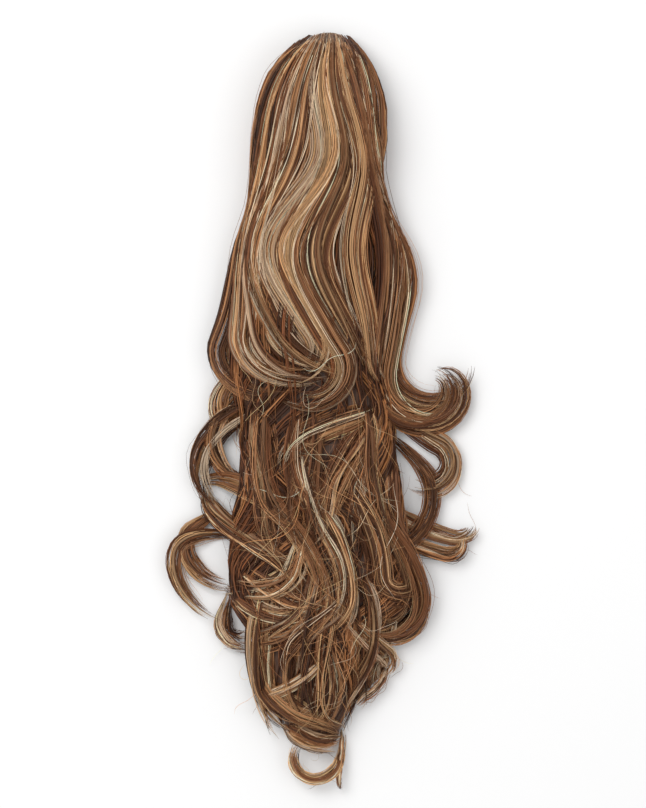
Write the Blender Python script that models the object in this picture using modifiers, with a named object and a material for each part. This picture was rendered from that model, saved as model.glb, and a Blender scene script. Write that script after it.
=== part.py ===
"""A clip-in ponytail of long wavy hair, lying on a table as it is laid out for sale.

The hair is one body of locks fused to their backing, with a hollow under its crown for the claw clip
that carries it. The clip has two moulded jaws on a steel hinge pin, held shut by a coil spring.

Metres, +Z up, +Y from the tip of the hair to its crown, +X to the right of someone looking down on it.
The origin is on the table, under the middle of the hair's length and spread.
"""

import math

import bmesh
import bpy
import numpy as np
from mathutils import Matrix, Vector

# Hair: the overall sizes that its tables share out
HAIR_LENGTH = 0.610
HAIR_HALF_SPREAD = 0.123
MASS_HEIGHT = 0.050
LOCK_FLATNESS = 0.70
LEAST_LOCK_HALF_THICKNESS = 0.0052
LOCK_CLEAR_OF_TABLE = 0.0035
LOCK_SUNK_SHARE = 0.25
LOCK_ROOT_SHARE = 0.45
LOCK_END_SHARE = 0.50
HAIR_GRAIN = 0.0034
HAIR_TRIANGLES = 5900
SWAY_PERIOD_SHARE = 0.317
SWAY_LEFTMOST_SHARE = 0.317
UNDERCUT = 0.003
WIDEST_AT_HEIGHT_SHARE = 0.42
SECTION_ROUNDNESS = 2.7

# Claw clip
CLIP_WIDTH = 0.078
BITE_RADIUS = 0.0159
JAW_WALL = 0.0022
JAW_EDGE = 0.0004
PLATE_START_DEG = 17.0
PLATE_END_DEG = 135.0
TOOTH_END_DEG = 214.0
TOOTH_SPREAD = 0.0020
TOOTH_ROOT_RADIUS = 0.0015
TOOTH_TIP_RADIUS = 0.0008
TEETH_PER_JAW = 8
TOOTH_PITCH = 0.0092
BITE_BEHIND_HINGE = 0.019
CLIP_BELOW_CROWN = 0.064

# Handles: a fan of seven petals
HANDLE_TILT_DEG = 18.0
HANDLE_REACH = 0.036
HANDLE_ROOT_HALF_WIDTH = 0.021
PETAL_COUNT = 7
PETAL_STEP_DEG = 22.0
PETAL_RADIUS = 0.0075
LOOP_WALL = 0.0028
SLIT_HALF_WIDTH = 0.0012

# Hinge
PIN_RADIUS = 0.0011
PIN_HEAD_RADIUS = 0.0022
PIN_HEAD_THICKNESS = 0.0008
EAR_THICKNESS = 0.0030
EAR_RADIUS = 0.0032
EAR_PLACE = 0.0180
SPRING_WIRE_RADIUS = 0.00045
SPRING_RADIUS = 0.0027
SPRING_TURNS = 4
SPRING_HALF_LENGTH = 0.0070
SPRING_LEG = 0.0120

# Clearances
GAP = 0.0003
CLIP_SIDE_ROOM = 0.0016
TEETH_ROOM = 0.0030
CLIP_ABOVE_TABLE = 0.0012

# Main mass of the hair: share of length from the crown, then left edge, right edge and height as shares
CORE_COLUMNS = ("along", "left", "right", "height")
CORE_ROWS = (
    (0.002, -0.04, 0.15, 0.26),
    (0.015, -0.15, 0.21, 0.54),
    (0.035, -0.25, 0.28, 0.80),
    (0.060, -0.32, 0.34, 0.94),
    (0.095, -0.38, 0.40, 1.00),
    (0.140, -0.41, 0.41, 1.00),
    (0.190, -0.42, 0.36, 0.88),
    (0.240, -0.44, 0.42, 0.76),
    (0.290, -0.52, 0.50, 0.70),
    (0.350, -0.54, 0.50, 0.68),
    (0.410, -0.58, 0.44, 0.70),
    (0.460, -0.58, 0.42, 0.70),
    (0.510, -0.52, 0.46, 0.68),
    (0.570, -0.52, 0.50, 0.66),
    (0.630, -0.56, 0.54, 0.66),
    (0.700, -0.60, 0.60, 0.68),
    (0.760, -0.58, 0.60, 0.66),
    (0.800, -0.46, 0.44, 0.62),
    (0.850, -0.36, 0.30, 0.54),
    (0.900, -0.30, 0.20, 0.46),
    (0.940, -0.20, 0.13, 0.34),
)

# Locks: root, then the place where the lock lets go of the mass and curls. Places are shares of the half
# spread (to the right) and of the length (from the crown), headings are degrees to the right of straight
# down the hair, curl radii and half widths are shares of the half spread, and lift is a share of the
# height of the mass under the lock.
LOCK_COLUMNS = (
    "name", "root_x", "root_y", "root_heading", "curl_x", "curl_y", "curl_heading",
    "sway", "turn", "first_radius", "last_radius", "half_width", "lift",
)
LOCK_ROWS = (
    ("left_edge", -0.10, 0.014, -48, -0.64, 0.415, -26, 0.02, 118, 0.08, 0.46, 0.100, 0.94),
    ("left_outer", -0.03, 0.010, -36, -0.50, 0.400, -8, 0.04, 100, 0.14, 0.50, 0.095, 1.00),
    ("left_middle", 0.00, 0.008, -24, -0.40, 0.395, 10, 0.06, 78, 0.30, 0.46, 0.095, 1.03),
    ("left_inner", 0.02, 0.008, -12, -0.27, 0.395, 30, 0.08, 50, 0.50, 0.60, 0.095, 1.06),
    ("blonde_left", 0.03, 0.008, -6, -0.05, 0.400, 35, 0.17, -100, 0.16, 0.20, 0.090, 1.08),
    ("centre", 0.05, 0.008, 0, 0.12, 0.425, 38, 0.13, -140, 0.18, 0.26, 0.095, 1.10),
    ("centre_right", 0.08, 0.008, 6, 0.28, 0.430, 32, 0.12, 20, 0.30, 0.20, 0.090, 1.08),
    ("right_inner", 0.10, 0.008, 16, 0.32, 0.435, 8, 0.08, 50, 0.30, 0.12, 0.090, 1.06),
    ("right_middle", 0.12, 0.010, 22, 0.37, 0.440, -12, -0.02, 215, 0.34, 0.14, 0.080, 1.02),
    ("right_outer", 0.19, 0.020, 16, 0.41, 0.440, -14, -0.07, 240, 0.37, 0.13, 0.080, 0.98),
    ("right_edge", 0.26, 0.035, 12, 0.46, 0.420, -14, -0.12, 165, 0.30, 0.24, 0.075, 0.94),
    ("second_flip", 0.38, 0.495, 55, 0.78, 0.545, 62, 0.0, -165, 0.14, 0.16, 0.060, 0.86),
    ("left_loop", -0.30, 0.490, -85, -0.80, 0.580, 0, 0.0, 50, 0.30, 0.30, 0.070, 0.95),
    ("left_arch", -0.80, 0.597, 112, 0.02, 0.733, 12, 0.0, -20, 0.60, 0.60, 0.060, 1.10),
    ("left_arch_low", -0.75, 0.605, -10, -0.25, 0.700, 48, 0.0, -30, 0.50, 0.50, 0.060, 1.06),
    ("waist_left", -0.40, 0.470, 5, -0.30, 0.640, 0, 0.0, 30, 0.60, 0.60, 0.110, 0.98),
    ("waist_middle", -0.10, 0.470, 5, -0.10, 0.640, 10, 0.0, 30, 0.60, 0.60, 0.120, 1.00),
    ("waist_right", 0.25, 0.470, 0, 0.30, 0.640, 10, 0.0, 20, 0.60, 0.60, 0.120, 0.98),
    ("centre_s", -0.07, 0.610, 38, 0.18, 0.745, 5, 0.0, -50, 0.30, 0.30, 0.080, 1.12),
    ("centre_lock", 0.06, 0.570, 40, 0.40, 0.720, 2, 0.0, 150, 0.14, 0.12, 0.075, 1.12),
    ("right_c", 0.45, 0.535, 45, 0.735, 0.610, 0, 0.0, -82, 0.36, 0.50, 0.050, 1.00),
    ("right_flick", 0.35, 0.615, 45, 0.86, 0.672, 75, 0.0, 70, 0.12, 0.06, 0.050, 0.94),
    ("right_flick_low", 0.45, 0.660, 50, 0.80, 0.692, 75, 0.0, 80, 0.12, 0.06, 0.050, 0.88),
    ("right_body", 0.25, 0.600, 25, 0.60, 0.740, 10, 0.0, -150, 0.22, 0.12, 0.110, 1.04),
    ("right_cluster", 0.52, 0.720, 25, 0.64, 0.775, -12, 0.0, -210, 0.14, 0.07, 0.058, 0.94),
    ("left_swirl", -0.10, 0.640, -10, -0.16, 0.705, -20, 0.0, -70, 0.16, 0.60, 0.090, 1.06),
    ("left_swirl_low", 0.00, 0.680, -5, -0.12, 0.770, -35, 0.0, -50, 0.40, 0.60, 0.100, 1.02),
    ("thin_left_outer", -0.53, 0.668, -95, -0.925, 0.680, -40, 0.0, 96, 0.10, 0.52, 0.046, 0.90),
    ("thin_left_inner", -0.70, 0.635, -30, -0.89, 0.672, -10, 0.0, 85, 0.20, 0.36, 0.046, 0.90),
    ("left_ring_low", -0.60, 0.745, -12, -0.64, 0.785, 5, 0.0, 85, 0.11, 0.14, 0.046, 0.85),
    ("tail_left", -0.30, 0.700, -12, -0.34, 0.870, 12, 0.0, 50, 0.35, 0.30, 0.110, 1.00),
    ("tail_middle", 0.00, 0.700, 0, -0.08, 0.900, 10, 0.0, 30, 0.40, 0.30, 0.140, 1.00),
    ("tail_right", 0.22, 0.700, 18, 0.18, 0.890, -25, 0.0, 0, 0.40, 0.30, 0.110, 1.00),
    ("light_lock", 0.12, 0.765, 42, 0.42, 0.824, 50, 0.0, -100, 0.08, 0.06, 0.060, 1.10),
    ("light_lock_end", 0.44, 0.838, -40, 0.20, 0.890, -42, 0.0, 0, 0.40, 0.40, 0.060, 1.06),
    ("tail_band", -0.38, 0.845, 8, 0.14, 0.925, 62, 0.0, 0, 0.40, 0.30, 0.065, 1.12),
    ("tail_hem", -0.24, 0.915, 40, 0.13, 0.940, 100, 0.0, 0, 0.40, 0.30, 0.060, 1.12),
    ("tip_ring", 0.15, 0.930, 5, 0.12, 0.968, -20, 0.0, -205, 0.18, 0.14, 0.046, 1.00),
)

# Sizes worked out from the ones above
PLATE_RADIUS = BITE_RADIUS + JAW_WALL / 2
PLATE_OUTER_RADIUS = BITE_RADIUS + JAW_WALL
HANDLE_TILT = math.radians(HANDLE_TILT_DEG)
PLATE_START = math.radians(PLATE_START_DEG)
WAIST_Y = -BITE_BEHIND_HINGE + PLATE_RADIUS * math.cos(PLATE_START)
WAIST_Z = PLATE_RADIUS * math.sin(PLATE_START)
HANDLE_DROP = WAIST_Z + HANDLE_REACH * math.sin(HANDLE_TILT) + JAW_WALL / 2
TOOTH_REACH = PLATE_RADIUS + TOOTH_SPREAD + TOOTH_ROOT_RADIUS
WAIST_SWING = math.hypot(WAIST_Y, WAIST_Z) + JAW_WALL / 2
HANDLE_SWING = math.hypot(WAIST_Y + HANDLE_REACH * math.cos(HANDLE_TILT), HANDLE_DROP)
HINGE_Y = HAIR_LENGTH / 2 - CLIP_BELOW_CROWN
HINGE_Z = CLIP_ABOVE_TABLE + max(PLATE_OUTER_RADIUS, HANDLE_DROP)
HINGE = Vector((0.0, HINGE_Y, HINGE_Z))
PIN_HALF_LENGTH = EAR_PLACE + EAR_THICKNESS + GAP + PIN_HEAD_THICKNESS


def clear_scene():
    """Removes every object that the file opened with."""
    for obj in list(bpy.data.objects):
        bpy.data.objects.remove(obj, do_unlink=True)


def new_collection(name, hidden=False):
    collection = bpy.data.collections.new(name)
    collection.hide_render = hidden
    bpy.context.scene.collection.children.link(collection)
    return collection


def principled(name, colour, roughness, metallic=0.0):
    material = bpy.data.materials.new(name)
    material.use_nodes = True
    shader = material.node_tree.nodes["Principled BSDF"]
    shader.inputs["Base Color"].default_value = (*colour, 1.0)
    shader.inputs["Roughness"].default_value = roughness
    shader.inputs["Metallic"].default_value = metallic
    material.diffuse_color = (*colour, 1.0)
    return material


def named_rows(columns, rows):
    return [dict(zip(columns, row)) for row in rows]


def object_from_bmesh(name, mesh_data, collection):
    mesh = bpy.data.meshes.new(name)
    mesh_data.to_mesh(mesh)
    mesh_data.free()
    obj = bpy.data.objects.new(name, mesh)
    collection.objects.link(obj)
    return obj


def evaluated_mesh(obj):
    """A mesh of the object with its modifiers, or its curve, worked out, its doubles welded."""
    bpy.context.view_layer.update()
    graph = bpy.context.evaluated_depsgraph_get()
    mesh = bpy.data.meshes.new_from_object(obj.evaluated_get(graph), depsgraph=graph)
    worked = bmesh.new()
    worked.from_mesh(mesh)
    bmesh.ops.remove_doubles(worked, verts=worked.verts, dist=1e-6)
    bmesh.ops.recalc_face_normals(worked, faces=worked.faces)
    worked.to_mesh(mesh)
    worked.free()
    return mesh


def baked(obj, name, collection):
    """A plain mesh object for a curve or an object with modifiers, its place taken into the mesh."""
    mesh = evaluated_mesh(obj)
    mesh.transform(obj.matrix_world)
    made = bpy.data.objects.new(name, mesh)
    collection.objects.link(made)
    bpy.data.objects.remove(obj, do_unlink=True)
    return made


def add_boolean(obj, other, operation):
    modifier = obj.modifiers.new(f"{operation.lower()} {other.name}", "BOOLEAN")
    modifier.operation = operation
    modifier.solver = "EXACT"
    modifier.object = other


def cutter_settings(obj):
    obj.hide_render = True
    obj.display_type = "WIRE"


def flat_outline(name, outlines, thickness, edge, collection):
    """A plate from closed outlines in its XY plane, the first its rim and the rest its holes."""
    curve = bpy.data.curves.new(name, "CURVE")
    curve.dimensions = "2D"
    curve.fill_mode = "BOTH"
    curve.extrude = thickness / 2 - edge
    curve.bevel_depth = edge
    curve.bevel_resolution = 0
    curve.offset = -edge
    for outline in outlines:
        spline = curve.splines.new("POLY")
        spline.points.add(len(outline) - 1)
        for point, (across, along) in zip(spline.points, outline):
            point.co = (across, along, 0.0, 1.0)
        spline.use_cyclic_u = True
    obj = bpy.data.objects.new(name, curve)
    collection.objects.link(obj)
    return obj


def arc_points(centre_y, radius, start_deg, end_deg, count):
    """Points (y, z) on an arc about (centre_y, 0)."""
    angles = np.radians(np.linspace(start_deg, end_deg, count))
    return [(centre_y + radius * math.cos(a), radius * math.sin(a)) for a in angles]


def petal_outline():
    """The rim of the fan: seven petals on one arc, then straight edges down to the hinge line."""
    middle_radius = HANDLE_REACH - PETAL_RADIUS
    petals = [math.radians((i - (PETAL_COUNT - 1) / 2) * PETAL_STEP_DEG) for i in range(PETAL_COUNT)]
    spread = petals[-1] + math.asin(PETAL_RADIUS / middle_radius) * 0.96
    points = [(-HANDLE_ROOT_HALF_WIDTH, -JAW_WALL)]
    for angle in np.linspace(-spread, spread, PETAL_COUNT * 6 + 1):
        reach = 0.0
        for petal in petals:
            aside = middle_radius * math.sin(angle - petal)
            if abs(aside) < PETAL_RADIUS:
                along = middle_radius * math.cos(angle - petal)
                reach = max(reach, along + math.sqrt(PETAL_RADIUS**2 - aside**2))
        points.append((reach * math.sin(angle), reach * math.cos(angle)))
    points.append((HANDLE_ROOT_HALF_WIDTH, -JAW_WALL))
    return points


def petal_hole(step):
    """The opening of one petal: a teardrop in the four open ones, a slit in the two end ones."""
    turn = math.radians(step * PETAL_STEP_DEG)
    far = HANDLE_REACH - LOOP_WALL
    is_slit = abs(step) == PETAL_COUNT // 2
    near = HANDLE_REACH * (0.62 if is_slit else 0.44)
    if is_slit:
        far -= PETAL_RADIUS * 0.25
    widest = SLIT_HALF_WIDTH if is_slit else PETAL_RADIUS - LOOP_WALL
    points = []
    for angle in np.linspace(0.0, 2 * math.pi, 11)[:-1]:
        along = (far + near) / 2 - (far - near) / 2 * math.cos(angle)
        narrowing = 0.72 - 0.28 * math.cos(angle)
        aside = widest * narrowing * math.sin(angle)
        points.append(
            (along * math.sin(turn) + aside * math.cos(turn), along * math.cos(turn) - aside * math.sin(turn))
        )
    return points


def build_handle(collection):
    steps = [step for step in range(-(PETAL_COUNT // 2), PETAL_COUNT // 2 + 1) if step != 0]
    outlines = [petal_outline()] + [petal_hole(step) for step in steps]
    plate = flat_outline("handle plate", outlines, JAW_WALL, JAW_EDGE, collection)
    plate.matrix_world = Matrix.Translation((0.0, WAIST_Y, WAIST_Z)) @ Matrix.Rotation(HANDLE_TILT, 4, "X")
    return baked(plate, "handle", collection)


def build_gripping_plate(collection):
    outer = arc_points(-BITE_BEHIND_HINGE, PLATE_OUTER_RADIUS, PLATE_START_DEG, PLATE_END_DEG, 12)
    inner = arc_points(-BITE_BEHIND_HINGE, BITE_RADIUS, PLATE_END_DEG, PLATE_START_DEG, 12)
    plate = flat_outline("gripping plate outline", [outer + inner], CLIP_WIDTH, JAW_EDGE, collection)
    plate.matrix_world = Matrix(((0, 0, 1, 0), (1, 0, 0, 0), (0, 1, 0, 0), (0, 0, 0, 1)))
    return baked(plate, "gripping plate", collection)


def build_teeth(collection):
    """Round tapering teeth that carry on the plate's curve and spread a little past it."""
    curve = bpy.data.curves.new("teeth", "CURVE")
    curve.dimensions = "3D"
    curve.bevel_depth = 1.0
    curve.bevel_resolution = 1
    curve.use_fill_caps = True
    first_deg = PLATE_END_DEG - 8.0
    shares = np.linspace(0.0, 1.0, 7)
    for tooth in range(TEETH_PER_JAW):
        across = (tooth - (TEETH_PER_JAW - 1) / 2) * TOOTH_PITCH - TOOTH_PITCH / 4
        spline = curve.splines.new("POLY")
        spline.points.add(len(shares) - 1)
        for point, share in zip(spline.points, shares):
            angle = math.radians(first_deg + (TOOTH_END_DEG - first_deg) * share)
            radius = PLATE_RADIUS + TOOTH_SPREAD * share
            place = (across, -BITE_BEHIND_HINGE + radius * math.cos(angle), radius * math.sin(angle))
            point.co = (*place, 1.0)
            point.radius = TOOTH_ROOT_RADIUS + (TOOTH_TIP_RADIUS - TOOTH_ROOT_RADIUS) * share
    obj = bpy.data.objects.new("teeth curve", curve)
    collection.objects.link(obj)
    return baked(obj, "teeth", collection)


def build_cylinder(name, radius, length, centre, segments, collection):
    """A cylinder along X."""
    turned = bmesh.new()
    bmesh.ops.create_cone(
        turned, cap_ends=True, segments=segments, radius1=radius, radius2=radius, depth=length,
        matrix=Matrix.Translation(centre) @ Matrix.Rotation(math.pi / 2, 4, "Y"),
    )
    return object_from_bmesh(name, turned, collection)


def build_box(name, low, high, collection):
    box = bmesh.new()
    bmesh.ops.create_cube(box, size=1.0)
    middle = (Vector(low) + Vector(high)) / 2
    size = Vector(high) - Vector(low)
    bmesh.ops.transform(box, matrix=Matrix.Translation(middle) @ Matrix.Diagonal((*size, 1.0)), verts=box.verts)
    return object_from_bmesh(name, box, collection)


def build_ears(collection):
    """Two ears on one jaw: the other jaw is this one turned over, so its ears lie beside these."""
    inner_face = EAR_PLACE - EAR_THICKNESS - GAP
    made = []
    for low in (-EAR_PLACE - EAR_THICKNESS, inner_face):
        centre = (low + EAR_THICKNESS / 2, 0.0, 0.0)
        knuckle = build_cylinder("knuckle", EAR_RADIUS, EAR_THICKNESS, centre, 20, collection)
        web = build_box(
            "ear web",
            (low, -EAR_RADIUS * 0.8, 0.0),
            (low + EAR_THICKNESS, EAR_RADIUS * 0.75, WAIST_Z + JAW_WALL * 0.35),
            collection,
        )
        made += [knuckle, web]
    return made


def build_jaw_mesh(collection):
    """The shape of one jaw about its hinge axis, handle to +Y and teeth to -Y."""
    jaw = build_gripping_plate(collection)
    for piece in [build_handle(collection), build_teeth(collection), *build_ears(collection)]:
        cutter_settings(piece)
        add_boolean(jaw, piece, "UNION")
    bore = build_cylinder("hinge bore", PIN_RADIUS + GAP, CLIP_WIDTH, (0.0, 0.0, 0.0), 16, collection)
    cutter_settings(bore)
    add_boolean(jaw, bore, "DIFFERENCE")
    mesh = evaluated_mesh(jaw)
    mesh.name = "claw jaw"
    cutter_settings(jaw)
    return mesh


def build_pin(collection):
    """A headed pin, turned about its own axis and laid along X."""
    profile = (
        (0.0, PIN_HALF_LENGTH),
        (PIN_HEAD_RADIUS, PIN_HALF_LENGTH),
        (PIN_HEAD_RADIUS, PIN_HALF_LENGTH - PIN_HEAD_THICKNESS),
        (PIN_RADIUS, PIN_HALF_LENGTH - PIN_HEAD_THICKNESS),
        (PIN_RADIUS, PIN_HEAD_THICKNESS - PIN_HALF_LENGTH),
        (PIN_HEAD_RADIUS, PIN_HEAD_THICKNESS - PIN_HALF_LENGTH),
        (PIN_HEAD_RADIUS, -PIN_HALF_LENGTH),
        (0.0, -PIN_HALF_LENGTH),
    )
    mesh = bpy.data.meshes.new("hinge pin")
    edges = [(i, i + 1) for i in range(len(profile) - 1)]
    mesh.from_pydata([(radius, 0.0, height) for radius, height in profile], edges, [])
    pin = bpy.data.objects.new("hinge_pin", mesh)
    collection.objects.link(pin)
    turning = pin.modifiers.new("turned", "SCREW")
    turning.axis = "Z"
    turning.steps = 14
    turning.render_steps = 14
    turning.use_merge_vertices = True
    turning.merge_threshold = 0.0001
    pin.rotation_euler = (0.0, math.pi / 2, 0.0)
    return pin


def spring_path():
    """From one leg's tip round the coil to the other's, the second half the first turned over about Y."""
    under_handle = WAIST_Z + (SPRING_LEG - WAIST_Y) * math.tan(HANDLE_TILT)
    under_handle -= JAW_WALL / 2 / math.cos(HANDLE_TILT) + GAP + SPRING_WIRE_RADIUS
    first = [
        (-SPRING_HALF_LENGTH, SPRING_LEG, under_handle),
        (-SPRING_HALF_LENGTH, SPRING_LEG * 0.5, (under_handle + SPRING_RADIUS) / 2),
    ]
    turns = SPRING_TURNS + 0.5
    coil = []
    for share in np.linspace(0.0, 1.0, round(turns * 12) + 1):
        angle = math.pi / 2 + share * turns * 2 * math.pi
        across = SPRING_HALF_LENGTH * (2 * share - 1)
        coil.append((across, SPRING_RADIUS * math.cos(angle), SPRING_RADIUS * math.sin(angle)))
    last = [(-x, y, -z) for x, y, z in reversed(first)]
    return first + coil + last


def build_spring(collection):
    curve = bpy.data.curves.new("spring wire", "CURVE")
    curve.dimensions = "3D"
    curve.bevel_depth = SPRING_WIRE_RADIUS
    curve.bevel_resolution = 2
    curve.use_fill_caps = True
    path = spring_path()
    spline = curve.splines.new("POLY")
    spline.points.add(len(path) - 1)
    for point, place in zip(spline.points, path):
        point.co = (*place, 1.0)
    spring = bpy.data.objects.new("spring", curve)
    collection.objects.link(spring)
    return spring


def core_at(along):
    """Middle, half width and height of the main mass at these shares of the length, in metres."""
    rows = np.array(CORE_ROWS)
    left, right, height = (np.interp(along, rows[:, 0], rows[:, i]) for i in (1, 2, 3))
    middle = (left + right) / 2 * HAIR_HALF_SPREAD
    half = (right - left) / 2 * HAIR_HALF_SPREAD
    return middle, half, height * MASS_HEIGHT


def build_core(collection):
    """A loft through superellipse sections, wider than high, that runs a little below the table."""
    count = 26
    angles = np.linspace(0.0, 2 * math.pi, count, endpoint=False)
    power = 2 / SECTION_ROUNDNESS
    cos_part = np.sign(np.cos(angles)) * np.abs(np.cos(angles)) ** power
    sin_part = np.sign(np.sin(angles)) * np.abs(np.sin(angles)) ** power
    loft = bmesh.new()
    rings = []
    for row in named_rows(CORE_COLUMNS, CORE_ROWS):
        middle = (row["left"] + row["right"]) / 2 * HAIR_HALF_SPREAD
        half = (row["right"] - row["left"]) / 2 * HAIR_HALF_SPREAD
        height = row["height"] * MASS_HEIGHT
        waist = WIDEST_AT_HEIGHT_SHARE * height
        above = np.maximum(sin_part, 0.0) * (height - waist)
        below = np.minimum(sin_part, 0.0) * (waist + UNDERCUT)
        y = (0.5 - row["along"]) * HAIR_LENGTH
        ring = zip(middle + half * cos_part, waist + above + below)
        rings.append([loft.verts.new((x, y, z)) for x, z in ring])
    for ring, following in zip(rings, rings[1:]):
        for i in range(count):
            j = (i + 1) % count
            loft.faces.new((ring[i], ring[j], following[j], following[i]))
    loft.faces.new(rings[0])
    loft.faces.new(rings[-1])
    bmesh.ops.recalc_face_normals(loft, faces=loft.faces)
    return object_from_bmesh("hair mass", loft, collection)


def lock_path(lock):
    """Plan view of one lock: a fall from root to curl that sways with the whole hair, then a spiral."""
    root = np.array((lock["root_x"] * HAIR_HALF_SPREAD, (0.5 - lock["root_y"]) * HAIR_LENGTH))
    curl = np.array((lock["curl_x"] * HAIR_HALF_SPREAD, (0.5 - lock["curl_y"]) * HAIR_LENGTH))
    reach = np.linalg.norm(curl - root)
    heads = [math.radians(lock["root_heading"]), math.radians(lock["curl_heading"])]
    tangents = [reach * np.array((math.sin(head), -math.cos(head))) for head in heads]
    t = np.linspace(0.0, 1.0, 40)[:, None]
    fall = (2 * t**3 - 3 * t**2 + 1) * root + (t**3 - 2 * t**2 + t) * tangents[0]
    fall += (3 * t**2 - 2 * t**3) * curl + (t**3 - t**2) * tangents[1]
    along = 0.5 - fall[:, 1] / HAIR_LENGTH
    wave = np.cos(2 * np.pi * (along - SWAY_LEFTMOST_SHARE) / SWAY_PERIOD_SHARE)
    fall[:, 0] -= lock["sway"] * HAIR_HALF_SPREAD * wave * np.sin(np.pi * t[:, 0]) ** 1.4
    if not lock["turn"]:
        return fall
    steps = 30
    share = (np.arange(steps) + 0.5) / steps
    radius = lock["first_radius"] + (lock["last_radius"] - lock["first_radius"]) * share
    last = fall[-1] - fall[-2]
    heading = math.atan2(last[0], -last[1]) + math.radians(lock["turn"]) * share
    stride = radius * HAIR_HALF_SPREAD * abs(math.radians(lock["turn"])) / steps
    moves = np.stack((np.sin(heading) * stride, -np.cos(heading) * stride), axis=1)
    return np.concatenate((fall, fall[-1] + np.cumsum(moves, axis=0)))


def lock_heights(lock, path):
    """Height of the lock's middle line: on the mass where it lies on it, low over the table beyond it."""
    middle, half, height = core_at(0.5 - path[:, 1] / HAIR_LENGTH)
    aside = np.clip(np.abs(path[:, 0] - middle) / half, 0.0, 1.0)
    waist = WIDEST_AT_HEIGHT_SHARE * height
    top = waist + (height - waist) * (1 - aside**SECTION_ROUNDNESS) ** (1 / SECTION_ROUNDNESS)
    top = np.where(aside < 1.0, top, 0.0)
    thickness = max(lock["half_width"] * HAIR_HALF_SPREAD * LOCK_FLATNESS, LEAST_LOCK_HALF_THICKNESS)
    lowest = thickness + LOCK_CLEAR_OF_TABLE
    heights = np.maximum(lock["lift"] * top - thickness * LOCK_SUNK_SHARE, lowest)
    reach = 7
    padded = np.pad(heights, reach, mode="edge")
    return np.convolve(padded, np.ones(2 * reach + 1) / (2 * reach + 1), mode="valid")


def even_points(points, count):
    lengths = np.concatenate(((0.0,), np.cumsum(np.linalg.norm(np.diff(points, axis=0), axis=1))))
    even = np.linspace(0.0, lengths[-1], count)
    return np.stack([np.interp(even, lengths, points[:, i]) for i in range(points.shape[1])], axis=1)


def build_locks(collection):
    """Every lock as one spline of a curve with a flattened round section."""
    bpy.ops.curve.primitive_bezier_circle_add(radius=1.0)
    section = bpy.context.object
    section.name = "lock section"
    section.data.resolution_u = 4
    section.data.transform(Matrix.Diagonal((1.0, LOCK_FLATNESS, 1.0, 1.0)))
    section.users_collection[0].objects.unlink(section)
    collection.objects.link(section)
    cutter_settings(section)

    curve = bpy.data.curves.new("locks", "CURVE")
    curve.dimensions = "3D"
    curve.twist_mode = "Z_UP"
    curve.bevel_mode = "OBJECT"
    curve.bevel_object = section
    curve.use_fill_caps = True
    least = LEAST_LOCK_HALF_THICKNESS / LOCK_FLATNESS
    for lock in named_rows(LOCK_COLUMNS, LOCK_ROWS):
        plan = lock_path(lock)
        path = even_points(np.column_stack((plan, lock_heights(lock, plan))), 32)
        share = np.linspace(0.0, 1.0, len(path))
        swell = np.minimum(LOCK_ROOT_SHARE + 2.2 * share, 1.0)
        swell *= np.minimum(LOCK_END_SHARE + 2.0 * (1 - share), 1.0)
        radii = np.maximum(lock["half_width"] * HAIR_HALF_SPREAD * swell, least * 0.8)
        spline = curve.splines.new("POLY")
        spline.points.add(len(path) - 1)
        for point, place, radius in zip(spline.points, path, radii):
            point.co = (*place, 1.0)
            point.radius = radius
    obj = bpy.data.objects.new("locks curve", curve)
    collection.objects.link(obj)
    return baked(obj, "locks", collection)


def clip_hollow(collection):
    """The room for the clip under the crown: a round-topped channel for the plates and teeth, and a
    drum with a slanting top for the fan of the handle, both open to the table. Both leave room for the
    swing of the lower jaw about the hinge."""
    half_width = CLIP_WIDTH / 2 + CLIP_SIDE_ROOM
    below = -HINGE_Z - UNDERCUT
    room = PLATE_OUTER_RADIUS + GAP
    over_plate = arc_points(-BITE_BEHIND_HINGE, room / math.cos(math.pi / 36), 20.0, PLATE_END_DEG, 14)
    teeth_room = TOOTH_REACH + TEETH_ROOM
    over_teeth = arc_points(-BITE_BEHIND_HINGE, teeth_room, PLATE_END_DEG + 4.0, 180.0, 6)
    front = WAIST_SWING + CLIP_SIDE_ROOM
    back = -BITE_BEHIND_HINGE - teeth_room
    outline = [(front, below), (front, WAIST_Z), *over_plate, *over_teeth, (back, below)]
    channel = flat_outline("channel outline", [outline], 2 * half_width, 0.0, collection)
    channel.matrix_world = Matrix.Translation(HINGE) @ Matrix(
        ((0, 0, 1, 0), (1, 0, 0, 0), (0, 1, 0, 0), (0, 0, 0, 1))
    )
    channel = baked(channel, "clip channel", collection)

    drum = bmesh.new()
    radius = max(HANDLE_REACH, HANDLE_SWING - WAIST_Y) + CLIP_SIDE_ROOM
    bmesh.ops.create_cone(drum, cap_ends=True, segments=40, radius1=radius, radius2=radius, depth=2.0)
    top_at_waist = WAIST_Z + (JAW_WALL / 2 + GAP) / math.cos(HANDLE_TILT)
    for vert in drum.verts:
        slope = top_at_waist + vert.co.y * math.tan(HANDLE_TILT)
        floor = max(slope, WAIST_Z)
        vert.co.z = floor if vert.co.z > 0 else below
        vert.co.y += WAIST_Y
    bmesh.ops.transform(drum, matrix=Matrix.Translation(HINGE), verts=drum.verts)
    bmesh.ops.triangulate(drum, faces=[face for face in drum.faces if len(face.verts) > 4])
    fan_room = object_from_bmesh("handle room", drum, collection)
    for cutter in (channel, fan_room):
        cutter_settings(cutter)
    return channel, fan_room


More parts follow.
